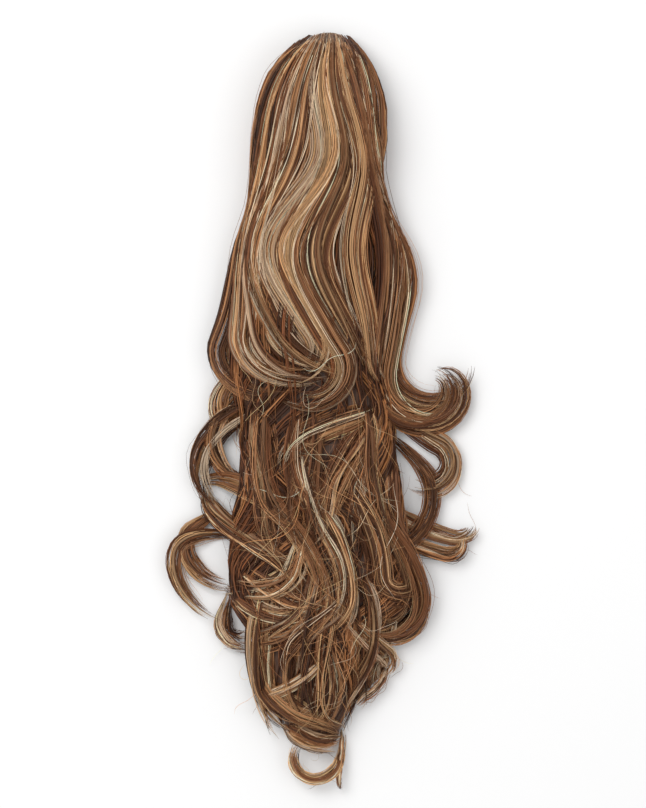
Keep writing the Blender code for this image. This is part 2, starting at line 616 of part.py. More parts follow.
def outer_shell(obj):
    """Keeps the largest shell of a mesh, so that no closed pocket is left inside it."""
    shells = bmesh.new()
    shells.from_mesh(obj.data)
    left = set(shells.verts)
    groups = []
    while left:
        group = {left.pop()}
        edge_of_group = list(group)
        while edge_of_group:
            found = [edge.other_vert(vert) for vert in edge_of_group for edge in vert.link_edges]
            edge_of_group = [vert for vert in dict.fromkeys(found) if vert in left]
            group.update(edge_of_group)
            left.difference_update(edge_of_group)
        groups.append(group)
    largest = max(groups, key=len)
    spare = [vert for vert in shells.verts if vert not in largest]
    bmesh.ops.delete(shells, geom=spare, context="VERTS")
    shells.to_mesh(obj.data)
    shells.free()


def build_hair(parts, cutters):
    """Mass and locks are fused into one skin, then cut flat on the table and hollowed for the clip."""
    core = build_core(cutters)
    locks = build_locks(cutters)
    cutter_settings(locks)
    with bpy.context.temp_override(
        active_object=core, object=core, selected_objects=[core, locks], selected_editable_objects=[core, locks]
    ):
        bpy.ops.object.join()
    fusing = core.modifiers.new("fused", "REMESH")
    fusing.mode = "VOXEL"
    fusing.voxel_size = HAIR_GRAIN
    easing = core.modifiers.new("eased", "SMOOTH")
    easing.factor = 0.5
    easing.iterations = 3
    hair = baked(core, "ponytail_hair", parts)
    outer_shell(hair)
    thinning = hair.modifiers.new("fewer faces", "DECIMATE")
    thinning.ratio = min(1.0, HAIR_TRIANGLES / (2 * len(hair.data.polygons)))

    table = build_box(
        "below the table",
        (-2 * HAIR_HALF_SPREAD, -HAIR_LENGTH, -MASS_HEIGHT),
        (2 * HAIR_HALF_SPREAD, HAIR_LENGTH, 0.0),
        cutters,
    )
    cutter_settings(table)
    for cutter in (table, *clip_hollow(cutters)):
        add_boolean(hair, cutter, "DIFFERENCE")
    return hair


def main():
    clear_scene()
    parts = new_collection("clip-in ponytail")
    cutters = new_collection("cutters", hidden=True)
    plastic = principled("charcoal plastic", (0.035, 0.036, 0.042), 0.22)
    steel = principled("sprung steel", (0.60, 0.60, 0.62), 0.28, 1.0)
    fibre = principled("chestnut hair", (0.20, 0.085, 0.035), 0.45)

    stand = bpy.data.objects.new("hairpiece", None)
    hinge = bpy.data.objects.new("hinge axis", None)
    parts.objects.link(stand)
    parts.objects.link(hinge)
    hinge.parent = stand
    hinge.location = HINGE

    jaw_mesh = build_jaw_mesh(cutters)
    jaw_mesh.materials.append(plastic)
    upper = bpy.data.objects.new("upper_jaw", jaw_mesh)
    lower = bpy.data.objects.new("lower_jaw", jaw_mesh)
    lower.rotation_euler = (0.0, math.pi, 0.0)
    for jaw in (upper, lower):
        parts.objects.link(jaw)
        jaw.parent = hinge
    for steel_piece in (build_pin(parts), build_spring(parts)):
        steel_piece.parent = hinge
        steel_piece.data.materials.append(steel)

    hair = build_hair(parts, cutters)
    hair.data.materials.clear()
    hair.data.materials.append(fibre)
    hair.parent = stand
    for obj in (upper, hair):
        obj.data.shade_smooth()
        obj.data.set_sharp_from_angle(angle=math.radians(40))


main()
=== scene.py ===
"""The looks of a clip-in ponytail of long wavy hair, laid on a pale table and seen from above.

The hair is made strand by strand: each lock is a row of bundles that falls and curls at its end, and
each bundle is a core painted dark as shade with wisps of fine strands round it, over a backing painted
dark as the shade deep in the hair. The claw clip under the crown keeps its moulded shape and gets its
finish here. Metres, +Z up, +Y towards the crown.
"""

from __future__ import annotations

import logging
import math
from dataclasses import dataclass, field
from enum import Enum

import bpy
import numpy as np
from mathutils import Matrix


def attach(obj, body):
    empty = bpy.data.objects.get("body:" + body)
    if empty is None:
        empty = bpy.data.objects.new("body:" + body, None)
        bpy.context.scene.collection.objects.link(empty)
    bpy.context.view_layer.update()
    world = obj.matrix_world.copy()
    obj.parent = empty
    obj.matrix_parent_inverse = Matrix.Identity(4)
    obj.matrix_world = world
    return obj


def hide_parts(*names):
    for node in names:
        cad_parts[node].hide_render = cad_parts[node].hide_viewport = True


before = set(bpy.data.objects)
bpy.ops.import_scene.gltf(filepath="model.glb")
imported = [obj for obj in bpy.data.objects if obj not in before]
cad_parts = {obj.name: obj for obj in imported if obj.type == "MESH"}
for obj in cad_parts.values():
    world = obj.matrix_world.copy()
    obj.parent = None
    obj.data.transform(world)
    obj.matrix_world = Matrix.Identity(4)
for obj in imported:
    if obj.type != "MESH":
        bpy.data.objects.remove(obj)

LOG = logging.getLogger("ponytail")
Triple = tuple[float, float, float]

# Driving sizes of the hair, the same as those of its solid
HAIR_LENGTH = 0.610
HAIR_HALF_SPREAD = 0.123
MASS_HEIGHT = 0.050
LOCK_FLATNESS = 0.70
LEAST_LOCK_HALF_THICKNESS = 0.0052
LOCK_CLEAR_OF_TABLE = 0.0035
LOCK_SUNK_SHARE = 0.25
SWAY_PERIOD_SHARE = 0.317
SWAY_LEFTMOST_SHARE = 0.317
WIDEST_AT_HEIGHT_SHARE = 0.42
SECTION_ROUNDNESS = 2.7

# How finely a lock's path is worked out, and how far apart its strands' points are
FALL_POINTS = 80
CURL_POINTS = 60
SWAY_EASE = 1.4
STRAIGHT_WISP = 0.02
HEIGHT_EASE_REACH = 13
STRAIGHT_PACE = 0.0080
BEND_PACE_DEG = 13
STRAIGHT_STEP = 0.0105
BEND_STEP_DEG = 11
BEND_STEP_SHARE = 0.7
SPARE_POINTS = 10
FEWEST_POINTS = 18
MOST_POINTS = 38

# Below this sine of its angle to the vertical a tube's side is taken as +X
UPRIGHT_SINE = 0.05
# How far apart the streaks of one tube and the next start
STREAK_STEP = 0.37
UP = np.array((0.0, 0.0, 1.0))
STRAND_SIDES = 3

# The photograph's frame, and where the hair lies in it
FRAME_WIDTH_PX = 646
FRAME_HEIGHT_PX = 808
CROWN_TIP_PX = 33
HAIR_MIDDLE_PX = 320.5
HAIR_LENGTH_PX = 752
METRES_A_PIXEL = HAIR_LENGTH / HAIR_LENGTH_PX

# The main mass's sections: share of the length, both sides as shares of the half spread, share of the height
MASS_COLUMNS = ("along", "left", "right", "height")
MASS_ROWS = (
    (0.002, -0.04, 0.15, 0.26),
    (0.015, -0.15, 0.21, 0.54),
    (0.035, -0.25, 0.28, 0.80),
    (0.060, -0.32, 0.34, 0.94),
    (0.095, -0.38, 0.40, 1.00),
    (0.140, -0.41, 0.41, 1.00),
    (0.190, -0.42, 0.36, 0.88),
    (0.240, -0.44, 0.42, 0.76),
    (0.290, -0.52, 0.50, 0.70),
    (0.350, -0.54, 0.50, 0.68),
    (0.410, -0.58, 0.44, 0.70),
    (0.460, -0.58, 0.42, 0.70),
    (0.510, -0.52, 0.46, 0.68),
    (0.570, -0.52, 0.50, 0.66),
    (0.630, -0.56, 0.54, 0.66),
    (0.700, -0.60, 0.60, 0.68),
    (0.760, -0.58, 0.60, 0.66),
    (0.800, -0.46, 0.44, 0.62),
    (0.850, -0.36, 0.30, 0.54),
    (0.900, -0.30, 0.20, 0.46),
    (0.940, -0.20, 0.13, 0.34),
)
# How many of these rows make the crown's rounded end
CROWN_END_ROWS = 6


class Layer(Enum):
    """Where a lock grows from, which decides the piece that it is part of."""

    CROWN_LEFT = "crown_strands_left"
    CROWN_RIGHT = "crown_strands_right"
    WAIST = "waist_strands"
    LEFT_CURLS = "left_curls"
    RIGHT_CURLS = "right_curls"
    TAIL = "tail_strands"


# Locks as in the solid, but for the tip ring and the two right flicks, which are slimmer, and for these
# flicks and the two right flips (right_middle and right_outer), which curl further over.
# Each has the layer that it belongs to, and how blonde and how dark it is.
LOCK_COLUMNS = (
    "name", "root_x", "root_y", "root_heading", "curl_x", "curl_y", "curl_heading",
    "sway", "turn", "first_radius", "last_radius", "half_width", "lift", "layer", "blonde", "dark",
)
CL, CR, WA, LC, RC, TA = Layer
LOCK_ROWS = (
    ("left_edge", -0.10, 0.014, -48, -0.64, 0.415, -26, 0.02, 118, 0.08, 0.46, 0.100, 0.94, CL, 0.15, 0.35),
    ("left_outer", -0.03, 0.010, -36, -0.50, 0.400, -8, 0.04, 100, 0.14, 0.50, 0.095, 1.00, CL, 0.35, 0.20),
    ("left_middle", 0.00, 0.008, -24, -0.40, 0.395, 10, 0.06, 78, 0.30, 0.46, 0.095, 1.03, CL, 0.25, 0.25),
    ("left_inner", 0.02, 0.008, -12, -0.27, 0.395, 30, 0.08, 50, 0.50, 0.60, 0.095, 1.06, CL, 0.30, 0.25),
    ("blonde_left", 0.03, 0.008, -6, -0.05, 0.400, 35, 0.17, -100, 0.16, 0.20, 0.090, 1.08, CL, 0.55, 0.12),
    ("centre", 0.05, 0.008, 0, 0.12, 0.425, 38, 0.13, -140, 0.18, 0.26, 0.095, 1.10, CR, 0.25, 0.30),
    ("centre_right", 0.08, 0.008, 6, 0.28, 0.430, 32, 0.12, 20, 0.30, 0.20, 0.090, 1.08, CR, 0.25, 0.30),
    ("right_inner", 0.10, 0.008, 16, 0.32, 0.435, 8, 0.08, 50, 0.30, 0.12, 0.090, 1.06, CR, 0.50, 0.15),
    ("right_middle", 0.12, 0.010, 22, 0.37, 0.440, -12, -0.02, 270, 0.34, 0.08, 0.080, 1.02, CR, 0.20, 0.25),
    ("right_outer", 0.19, 0.020, 16, 0.41, 0.440, -14, -0.07, 290, 0.37, 0.07, 0.080, 0.98, CR, 0.30, 0.20),
    ("right_edge", 0.26, 0.035, 12, 0.46, 0.420, -14, -0.12, 165, 0.30, 0.24, 0.075, 0.94, CR, 0.10, 0.35),
    ("second_flip", 0.38, 0.495, 55, 0.78, 0.545, 62, 0.0, -165, 0.14, 0.16, 0.060, 0.86, RC, 0.25, 0.25),
    ("left_loop", -0.30, 0.490, -85, -0.80, 0.580, 0, 0.0, 50, 0.30, 0.30, 0.070, 0.95, LC, 0.15, 0.35),
    ("left_arch", -0.80, 0.597, 112, 0.02, 0.733, 12, 0.0, -20, 0.60, 0.60, 0.060, 1.10, LC, 0.30, 0.20),
    ("left_arch_low", -0.75, 0.605, -10, -0.25, 0.700, 48, 0.0, -30, 0.50, 0.50, 0.060, 1.06, LC, 0.20, 0.30),
    ("waist_left", -0.40, 0.470, 5, -0.30, 0.640, 0, 0.0, 30, 0.60, 0.60, 0.110, 0.98, WA, 0.00, 0.55),
    ("waist_middle", -0.10, 0.470, 5, -0.10, 0.640, 10, 0.0, 30, 0.60, 0.60, 0.120, 1.00, WA, 0.12, 0.45),
    ("waist_right", 0.25, 0.470, 0, 0.30, 0.640, 10, 0.0, 20, 0.60, 0.60, 0.120, 0.98, WA, 0.10, 0.40),
    ("centre_s", -0.07, 0.610, 38, 0.18, 0.745, 5, 0.0, -50, 0.30, 0.30, 0.080, 1.12, WA, 0.25, 0.25),
    ("centre_lock", 0.06, 0.570, 40, 0.40, 0.720, 2, 0.0, 150, 0.14, 0.12, 0.075, 1.12, WA, 0.15, 0.30),
    ("right_c", 0.45, 0.535, 45, 0.735, 0.610, 0, 0.0, -82, 0.36, 0.50, 0.050, 1.00, RC, 0.15, 0.30),
    ("right_flick", 0.35, 0.615, 45, 0.86, 0.672, 75, 0.0, 95, 0.14, 0.08, 0.042, 0.94, RC, 0.30, 0.20),
    ("right_flick_low", 0.45, 0.660, 50, 0.80, 0.692, 75, 0.0, 105, 0.13, 0.08, 0.042, 0.88, RC, 0.25, 0.25),
    ("right_body", 0.25, 0.600, 25, 0.60, 0.740, 10, 0.0, -150, 0.22, 0.12, 0.110, 1.04, RC, 0.12, 0.30),
    ("right_cluster", 0.52, 0.720, 25, 0.64, 0.775, -12, 0.0, -210, 0.14, 0.07, 0.058, 0.94, RC, 0.30, 0.20),
    ("left_swirl", -0.10, 0.640, -10, -0.16, 0.705, -20, 0.0, -70, 0.16, 0.60, 0.090, 1.06, LC, 0.40, 0.20),
    ("left_swirl_low", 0.00, 0.680, -5, -0.12, 0.770, -35, 0.0, -50, 0.40, 0.60, 0.100, 1.02, LC, 0.20, 0.30),
    ("thin_left_outer", -0.53, 0.668, -95, -0.925, 0.68, -40, 0.0, 96, 0.10, 0.52, 0.046, 0.9, LC, 0.3, 0.2),
    ("thin_left_inner", -0.70, 0.635, -30, -0.89, 0.672, -10, 0.0, 85, 0.20, 0.36, 0.046, 0.9, LC, 0.3, 0.2),
    ("left_ring_low", -0.60, 0.745, -12, -0.64, 0.785, 5, 0.0, 85, 0.11, 0.14, 0.046, 0.85, LC, 0.30, 0.20),
    ("tail_left", -0.30, 0.700, -12, -0.34, 0.870, 12, 0.0, 50, 0.35, 0.30, 0.110, 1.00, TA, 0.20, 0.35),
    ("tail_middle", 0.00, 0.700, 0, -0.08, 0.900, 10, 0.0, 30, 0.40, 0.30, 0.140, 1.00, TA, 0.12, 0.45),
    ("tail_right", 0.22, 0.700, 18, 0.18, 0.890, -25, 0.0, 0, 0.40, 0.30, 0.110, 1.00, TA, 0.08, 0.60),
    ("light_lock", 0.12, 0.765, 42, 0.42, 0.824, 50, 0.0, -100, 0.08, 0.06, 0.060, 1.10, TA, 0.55, 0.10),
    ("light_lock_end", 0.44, 0.838, -40, 0.20, 0.890, -42, 0.0, 0, 0.40, 0.40, 0.060, 1.06, TA, 0.35, 0.20),
    ("tail_band", -0.38, 0.845, 8, 0.14, 0.925, 62, 0.0, 0, 0.40, 0.30, 0.065, 1.12, TA, 0.35, 0.20),
    ("tail_hem", -0.24, 0.915, 40, 0.13, 0.940, 100, 0.0, 0, 0.40, 0.30, 0.060, 1.12, TA, 0.35, 0.20),
    ("tip_ring", 0.15, 0.930, 5, 0.12, 0.968, -20, 0.0, -205, 0.17, 0.13, 0.030, 1.00, TA, 0.40, 0.15),
)

# Finer locks that the solid doesn't have. They lie on its surface, but for two beside its left waist.
FINE_LOCK_ROWS = (
    ("fan_left", 0.42, 0.495, -62, -0.13, 0.541, -50, 0.0, 50, 0.30, 0.30, 0.070, 1.02, WA, 0.20, 0.30),
    ("fan_middle", 0.38, 0.498, -25, 0.06, 0.620, -8, 0.0, -40, 0.40, 0.40, 0.080, 1.03, WA, 0.20, 0.30),
    ("fan_down", 0.39, 0.500, -8, 0.24, 0.615, -5, 0.0, 30, 0.40, 0.40, 0.050, 1.05, WA, 0.15, 0.35),
    ("waist_fall_left", -0.38, 0.475, 5, -0.34, 0.610, 18, 0.0, 60, 0.30, 0.30, 0.060, 1.07, WA, 0.15, 0.25),
    ("waist_fall_middle", -0.14, 0.49, 0, -0.16, 0.59, 18, 0.0, 50, 0.5, 0.4, 0.06, 1.06, WA, 0.15, 0.3),
    ("waist_fall_right", 0.46, 0.535, -5, 0.50, 0.665, 22, 0.0, -70, 0.30, 0.24, 0.060, 1.02, WA, 0.15, 0.30),
    ("left_waist_curl", -0.42, 0.430, -48, -0.68, 0.495, 0, 0.0, 70, 0.22, 0.16, 0.050, 0.98, LC, 0.30, 0.20),
    ("left_waist_curl_low", -0.5, 0.47, -38, -0.7, 0.55, 8, 0.0, 80, 0.24, 0.18, 0.05, 0.96, LC, 0.25, 0.25),
    ("centre_fall", -0.13, 0.520, 0, 0.10, 0.674, 32, 0.0, -65, 0.50, 0.40, 0.052, 1.12, WA, 0.40, 0.15),
    ("right_low_fall", 0.48, 0.645, 22, 0.64, 0.745, 0, 0.0, -120, 0.22, 0.14, 0.050, 1.00, RC, 0.25, 0.25),
    ("left_wave", -0.60, 0.700, 60, -0.24, 0.748, 60, 0.0, 70, 0.26, 0.20, 0.050, 1.08, LC, 0.35, 0.15),
    ("left_wave_low", -0.63, 0.734, 50, -0.26, 0.772, 80, 0.0, 60, 0.22, 0.16, 0.045, 1.08, LC, 0.30, 0.20),
    ("middle_wave", 0.18, 0.738, -20, -0.14, 0.805, -42, 0.0, 65, 0.26, 0.20, 0.060, 1.08, TA, 0.15, 0.35),
    ("right_wave", 0.48, 0.750, -8, 0.36, 0.830, -36, 0.0, 70, 0.20, 0.16, 0.050, 1.04, TA, 0.15, 0.35),
    ("tail_wave_left", -0.43, 0.775, 22, -0.36, 0.860, 26, 0.0, 60, 0.24, 0.20, 0.050, 1.06, TA, 0.20, 0.25),
    ("tail_wave_middle", 0.0, 0.8, 26, 0.04, 0.895, -22, 0.0, -40, 0.3, 0.24, 0.055, 1.06, TA, 0.15, 0.45),
    ("tail_slant", 0.06, 0.822, -42, -0.30, 0.876, -72, 0.0, 30, 0.16, 0.12, 0.028, 1.16, TA, 0.80, 0.05),
    ("tip_wisp", 0.14, 0.925, 0, 0.12, 0.990, -4, 0.0, 20, 0.20, 0.20, 0.012, 1.00, TA, 0.20, 0.40),
)


class Tone(Enum):
    """The fibre colours that are mixed in the hair, from its lowlights to its highlights."""

    LOWLIGHT = (0.080, 0.030, 0.012)
    CHESTNUT = (0.250, 0.098, 0.040)
    CARAMEL = (0.520, 0.250, 0.110)
    BLONDE = (0.760, 0.465, 0.230)
    PALE = (0.920, 0.705, 0.490)


def unit(vectors: np.ndarray) -> np.ndarray:
    """Vectors of length one along those of the last axis."""
    return vectors / np.maximum(np.linalg.norm(vectors, axis=-1, keepdims=True), 1e-9)


def smooth_step(low: float, high: float, value: np.ndarray) -> np.ndarray:
    """Rises from 0 to 1 between low and high, level at both ends."""
    share = np.clip((value - low) / (high - low), 0.0, 1.0)
    return share * share * (3.0 - 2.0 * share)


def running_mean(values: np.ndarray, reach: int) -> np.ndarray:
    """Each value's mean with its neighbours up to reach places away."""
    padded = np.pad(values, reach, mode="edge")
    return np.convolve(padded, np.ones(2 * reach + 1) / (2 * reach + 1), mode="valid")


def eased_rows(values: np.ndarray, reach: int) -> np.ndarray:
    """Each value's mean with its neighbours in the same row, up to reach places away."""
    padded = np.pad(values, ((0, 0), (reach, reach)), mode="edge")
    total = np.cumsum(np.pad(padded, ((0, 0), (1, 0))), axis=1)
    span = 2 * reach + 1
    return (total[:, span:] - total[:, :-span]) / span


def sampled(values: np.ndarray, at: np.ndarray) -> np.ndarray:
    """Rows of places read at points between their own, one row of points for each."""
    low = np.clip(np.floor(at).astype(int), 0, values.shape[1] - 2)
    share = (at - low)[..., None]
    row = np.arange(len(values))[:, None]
    return values[row, low] * (1 - share) + values[row, low + 1] * share


def side_and_over(tangents: np.ndarray) -> tuple[np.ndarray, np.ndarray]:
    """The level direction across each tangent, and the upward one across both."""
    side = unit(np.cross(tangents, UP))
    return side, np.cross(side, tangents)


def moves_along(heading: np.ndarray, stride: np.ndarray) -> np.ndarray:
    """Moves over the table, each a stride long, at headings that are 0 towards the tip."""
    return np.stack((np.sin(heading) * stride, -np.cos(heading) * stride), axis=-1)


def arch(aside: np.ndarray) -> np.ndarray:
    """The section's rise over its waist, from 1 in the middle to 0 at its side, a superellipse."""
    return (1 - aside**SECTION_ROUNDNESS) ** (1 / SECTION_ROUNDNESS)


def tapered(t: np.ndarray, root: float, tip: float, root_pace: float = 4.0) -> np.ndarray:
    """Share of its full width that a strand has, rising from the root's share, falling to the tip's.

    Args:
        t: shares of the way along.
        root: the share at the root.
        tip: the share at the tip.
        root_pace: how fast it rises.

    Returns:
        A share for each.
    """
    return np.minimum(root + root_pace * t, 1.0) * np.minimum(tip + 4.0 * (1 - t), 1.0)


@dataclass
class MeshData:
    """Arrays of one mesh: its places, its faces as rows of four or three corners, and its colours."""

    places: np.ndarray
    quads: np.ndarray
    triangles: np.ndarray
    colours: np.ndarray
    runs: np.ndarray

    def object_named(self, name: str, material: bpy.types.Material) -> bpy.types.Object:
        """Makes the mesh and its object, shaded smooth.

        Args:
            name: the piece's plain name.
            material: its finish.

        Returns:
            The new object, at the origin with its place in its mesh.
        """
        mesh = bpy.data.meshes.new(name)
        mesh.vertices.add(len(self.places))
        mesh.vertices.foreach_set("co", self.places.astype(np.float32).ravel())
        corners = np.concatenate((self.quads.ravel(), self.triangles.ravel())).astype(np.int32)
        mesh.loops.add(len(corners))
        mesh.loops.foreach_set("vertex_index", corners)
        quad_starts = 4 * np.arange(len(self.quads))
        triangle_starts = 4 * len(self.quads) + 3 * np.arange(len(self.triangles))
        starts = np.concatenate((quad_starts, triangle_starts)).astype(np.int32)
        mesh.polygons.add(len(starts))
        mesh.polygons.foreach_set("loop_start", starts)
        mesh.update(calc_edges=True)
        mesh.validate()
        tint = mesh.color_attributes.new("fibre_colour", "FLOAT_COLOR", "POINT")
        tint.data.foreach_set("color", self.colours.astype(np.float32).ravel())
        run = mesh.attributes.new("fibre_run", "FLOAT_VECTOR", "POINT")
        run.data.foreach_set("vector", self.runs.astype(np.float32).ravel())
        mesh.shade_smooth()
        mesh.materials.append(material)
        made = bpy.data.objects.new(name, mesh)
        bpy.context.scene.collection.objects.link(made)
        return made


def tubes(
    paths: np.ndarray, radii: np.ndarray, colours: np.ndarray, sides: int, flatness: float = 1.0,
    phase: np.ndarray | None = None,
) -> MeshData:
    """Closed round tubes, a ring of corners at each point of each path.

    A corner is the path's point, plus the radius times the cosine of its angle to the side, plus the
    radius times the flatness times the sine of its angle upwards across the path.

    Args:
        paths: tubes by points by three, in metres.
        radii: tubes by points.
        colours: tubes by three, one colour for each.
        sides: corners in a ring.
        flatness: height of a ring as a share of its width.
        phase: each tube's turn about its own path, in radians, or None for no turn.

    Returns:
        All the tubes as one mesh's arrays.
    """
    count, steps, _ = paths.shape
    tangents = unit(np.gradient(paths, axis=1))
    side = np.cross(tangents, UP)
    steep = np.linalg.norm(side, axis=-1, keepdims=True) < UPRIGHT_SINE
    side = unit(np.where(steep, np.array((1.0, 0.0, 0.0)), side))
    over = np.cross(side, tangents)
    turn = np.zeros(count) if phase is None else phase
    angles = 2 * np.pi * np.arange(sides) / sides + turn[:, None, None]
    reach = radii[..., None]
    across = (np.cos(angles) * reach)[..., None] * side[:, :, None, :]
    upward = (np.sin(angles) * reach * flatness)[..., None] * over[:, :, None, :]
    places = (paths[:, :, None, :] + across + upward).reshape(-1, 3)

    ring = np.arange(sides)
    start = (np.arange(count)[:, None] * steps + np.arange(steps - 1)) * sides
    first = start[..., None] + ring
    second = start[..., None] + (ring + 1) % sides
    quads = np.stack((first, first + sides, second + sides, second), axis=-1).reshape(-1, 4)
    fan = np.arange(1, sides - 1)
    head = (np.arange(count) * steps * sides)[:, None]
    foot = head + (steps - 1) * sides
    none = np.zeros_like(fan)
    head_caps = np.stack((head + none, head + fan, head + fan + 1), axis=-1).reshape(-1, 3)
    foot_caps = np.stack((foot + none, foot + fan + 1, foot + fan), axis=-1).reshape(-1, 3)
    triangles = np.concatenate((head_caps, foot_caps))

    lengths = np.cumsum(np.linalg.norm(np.diff(paths, axis=1, prepend=paths[:, :1]), axis=-1), axis=1)
    shape = (count, steps, sides)
    tinted = np.ones((*shape, 4))
    tinted[..., :3] = colours[:, None, None, :]
    runs = np.zeros((*shape, 3))
    runs[..., 0] = np.arange(count)[:, None, None] * STREAK_STEP
    runs[..., 1] = lengths[:, :, None]
    runs[..., 2] = ring / sides
    return MeshData(places, quads, triangles, tinted.reshape(-1, 4), runs.reshape(-1, 3))


def joined(parts: list[MeshData]) -> MeshData:
    """Several meshes' arrays as one, their corner numbers moved on."""
    offsets = np.cumsum([0] + [len(part.places) for part in parts[:-1]])
    return MeshData(
        np.concatenate([part.places for part in parts]),
        np.concatenate([part.quads + offset for part, offset in zip(parts, offsets)]),
        np.concatenate([part.triangles + offset for part, offset in zip(parts, offsets)]),
        np.concatenate([part.colours for part in parts]),
        np.concatenate([part.runs for part in parts]),
    )


@dataclass(frozen=True)
class HairMass:
    """The main mass that the locks lie on: superellipse sections from the crown to the tip."""

    proud: float = 0.0072
    proud_aside: float = 0.0030
    dome_share: float = 0.992
    least_height: float = 0.0012

    def section(self, along: np.ndarray) -> tuple[np.ndarray, np.ndarray, np.ndarray]:
        """Middle, half width and height of the mass at shares of the length, in metres."""
        shares, *measures = np.array(MASS_ROWS).T
        named = dict(zip(MASS_COLUMNS[1:], (np.interp(along, shares, measure) for measure in measures)))
        left, right, height = named["left"], named["right"], named["height"]
        middle = (left + right) / 2 * HAIR_HALF_SPREAD
        half = (right - left) / 2 * HAIR_HALF_SPREAD
        return middle, half, height * MASS_HEIGHT

    def top(self, x: np.ndarray, y: np.ndarray) -> np.ndarray:
        """Height of the mass's top at places on the table, none where it doesn't reach.

        Height is the waist's plus the rest of the height times the superellipse of the distance aside.
        """
        middle, half, height = self.section(0.5 - y / HAIR_LENGTH)
        aside = np.clip(np.abs(x - middle) / half, 0.0, 1.0)
        waist = WIDEST_AT_HEIGHT_SHARE * height
        top = waist + (height - waist) * arch(aside)
        return np.where(aside < 1.0, top, 0.0)

    def dome(self, x: np.ndarray, y: np.ndarray) -> tuple[np.ndarray, np.ndarray]:
        """The outermost fibres over the mass: places kept within its sides, and their height."""
        middle, half, height = self.section(0.5 - y / HAIR_LENGTH)
        wide = half + self.proud_aside
        inside = middle + np.clip(x - middle, -self.dome_share * wide, self.dome_share * wide)
        aside = np.abs(inside - middle) / wide
        waist = WIDEST_AT_HEIGHT_SHARE * height
        top = waist + (height + self.proud - waist) * arch(aside)
        return inside, top

    def skin(self, along: np.ndarray, angle: np.ndarray, proud: np.ndarray) -> np.ndarray:
        """Places on the mass's skin at shares of the length and angles round its section.

        Args:
            along: shares of the length from the crown.
            angle: radians round the section, 0 to the right and a quarter turn on top.
            proud: how far outside the mass, in metres.

        Returns:
            Places, one row of three for each.
        """
        middle, half, height = self.section(along)
        power = 2 / SECTION_ROUNDNESS
        cos_part = np.sign(np.cos(angle)) * np.abs(np.cos(angle)) ** power
        sin_part = np.sign(np.sin(angle)) * np.abs(np.sin(angle)) ** power
        waist = WIDEST_AT_HEIGHT_SHARE * height
        rise = np.where(sin_part > 0, height + proud - waist, waist)
        x = middle + (half + proud) * cos_part
        z = np.maximum(waist + rise * sin_part, self.least_height)
        return np.stack((x, (0.5 - along) * HAIR_LENGTH, z), axis=-1)


def closed_loft(name: str, rings: np.ndarray, material: bpy.types.Material) -> bpy.types.Object:
    """A closed skin through rings of places, each end shut by one face."""
    count, around, _ = rings.shape
    ring = np.arange(around)
    start = np.arange(count - 1)[:, None] * around
    here = start + ring
    after = start + (ring + 1) % around
    quads = np.stack((here, after, after + around, here + around), axis=-1).reshape(-1, 4)
    faces = [*quads.tolist(), ring[::-1].tolist(), (ring + (count - 1) * around).tolist()]
    mesh = bpy.data.meshes.new(name)
    mesh.from_pydata(rings.reshape(-1, 3).tolist(), [], faces)
    mesh.validate()
    mesh.materials.append(material)
    made = bpy.data.objects.new(name, mesh)
    bpy.context.scene.collection.objects.link(made)
    return made


@dataclass(frozen=True)
class ClipRoom:
    """The room under the crown that the clip lies in and its lower jaw swings in, open to the table."""

    hinge_y: float = 0.2410
    hinge_z: float = 0.0193
    behind_hinge: float = 0.0190
    half_width: float = 0.0403
    plate_radius: float = 0.0186
    teeth_radius: float = 0.0235
    front: float = 0.0083
    waist_y: float = -0.0027
    waist_z: float = 0.0050
    fan_radius: float = 0.0392
    fan_tilt_deg: float = 18.0
    fan_clearance: float = 0.0017
    below: float = -0.0060
    arch_start_deg: float = 16.0
    plates_end_deg: float = 135.0
    teeth_start_deg: float = 150.0
    arch_points: int = 24
    fan_points: int = 48

    def solids(self) -> list[bpy.types.Object]:
        """A round-topped channel for the plates and teeth, and a drum with a slanting top for the fan."""
        finish = bpy.data.materials.get("backing_fibre")
        arc = np.radians(np.linspace(self.arch_start_deg, 180.0, self.arch_points))
        change = np.radians((self.plates_end_deg, self.teeth_start_deg))
        radius = np.interp(arc, change, (self.plate_radius, self.teeth_radius))
        y = -self.behind_hinge + radius * np.cos(arc)
        z = radius * np.sin(arc)
        bottom = self.below - self.hinge_z
        outline_y = np.concatenate(([self.front, self.front], y, [y[-1]]))
        outline_z = np.concatenate(([bottom, z[0]], z, [bottom]))
        level = np.zeros_like(outline_y)
        profile = np.stack((level, outline_y + self.hinge_y, outline_z + self.hinge_z), axis=-1)
        aside = np.array((1.0, 0.0, 0.0)) * self.half_width
        channel = closed_loft("clip_channel", np.stack((profile - aside, profile + aside)), finish)

        angle = np.linspace(0.0, 2 * np.pi, self.fan_points, endpoint=False)
        fan_x = self.fan_radius * np.cos(angle)
        fan_y = self.waist_y + self.fan_radius * np.sin(angle)
        rise = self.waist_z + self.fan_clearance + np.maximum(fan_y - self.waist_y, 0.0) * math.tan(
            math.radians(self.fan_tilt_deg)
        )
        low = np.stack((fan_x, fan_y + self.hinge_y, np.full_like(angle, self.below)), axis=-1)
        high = np.stack((fan_x, fan_y + self.hinge_y, rise + self.hinge_z), axis=-1)
        drum = closed_loft("clip_drum", np.stack((low, high)), finish)
        for room in (channel, drum):
            room.hide_render = True
        return [channel, drum]


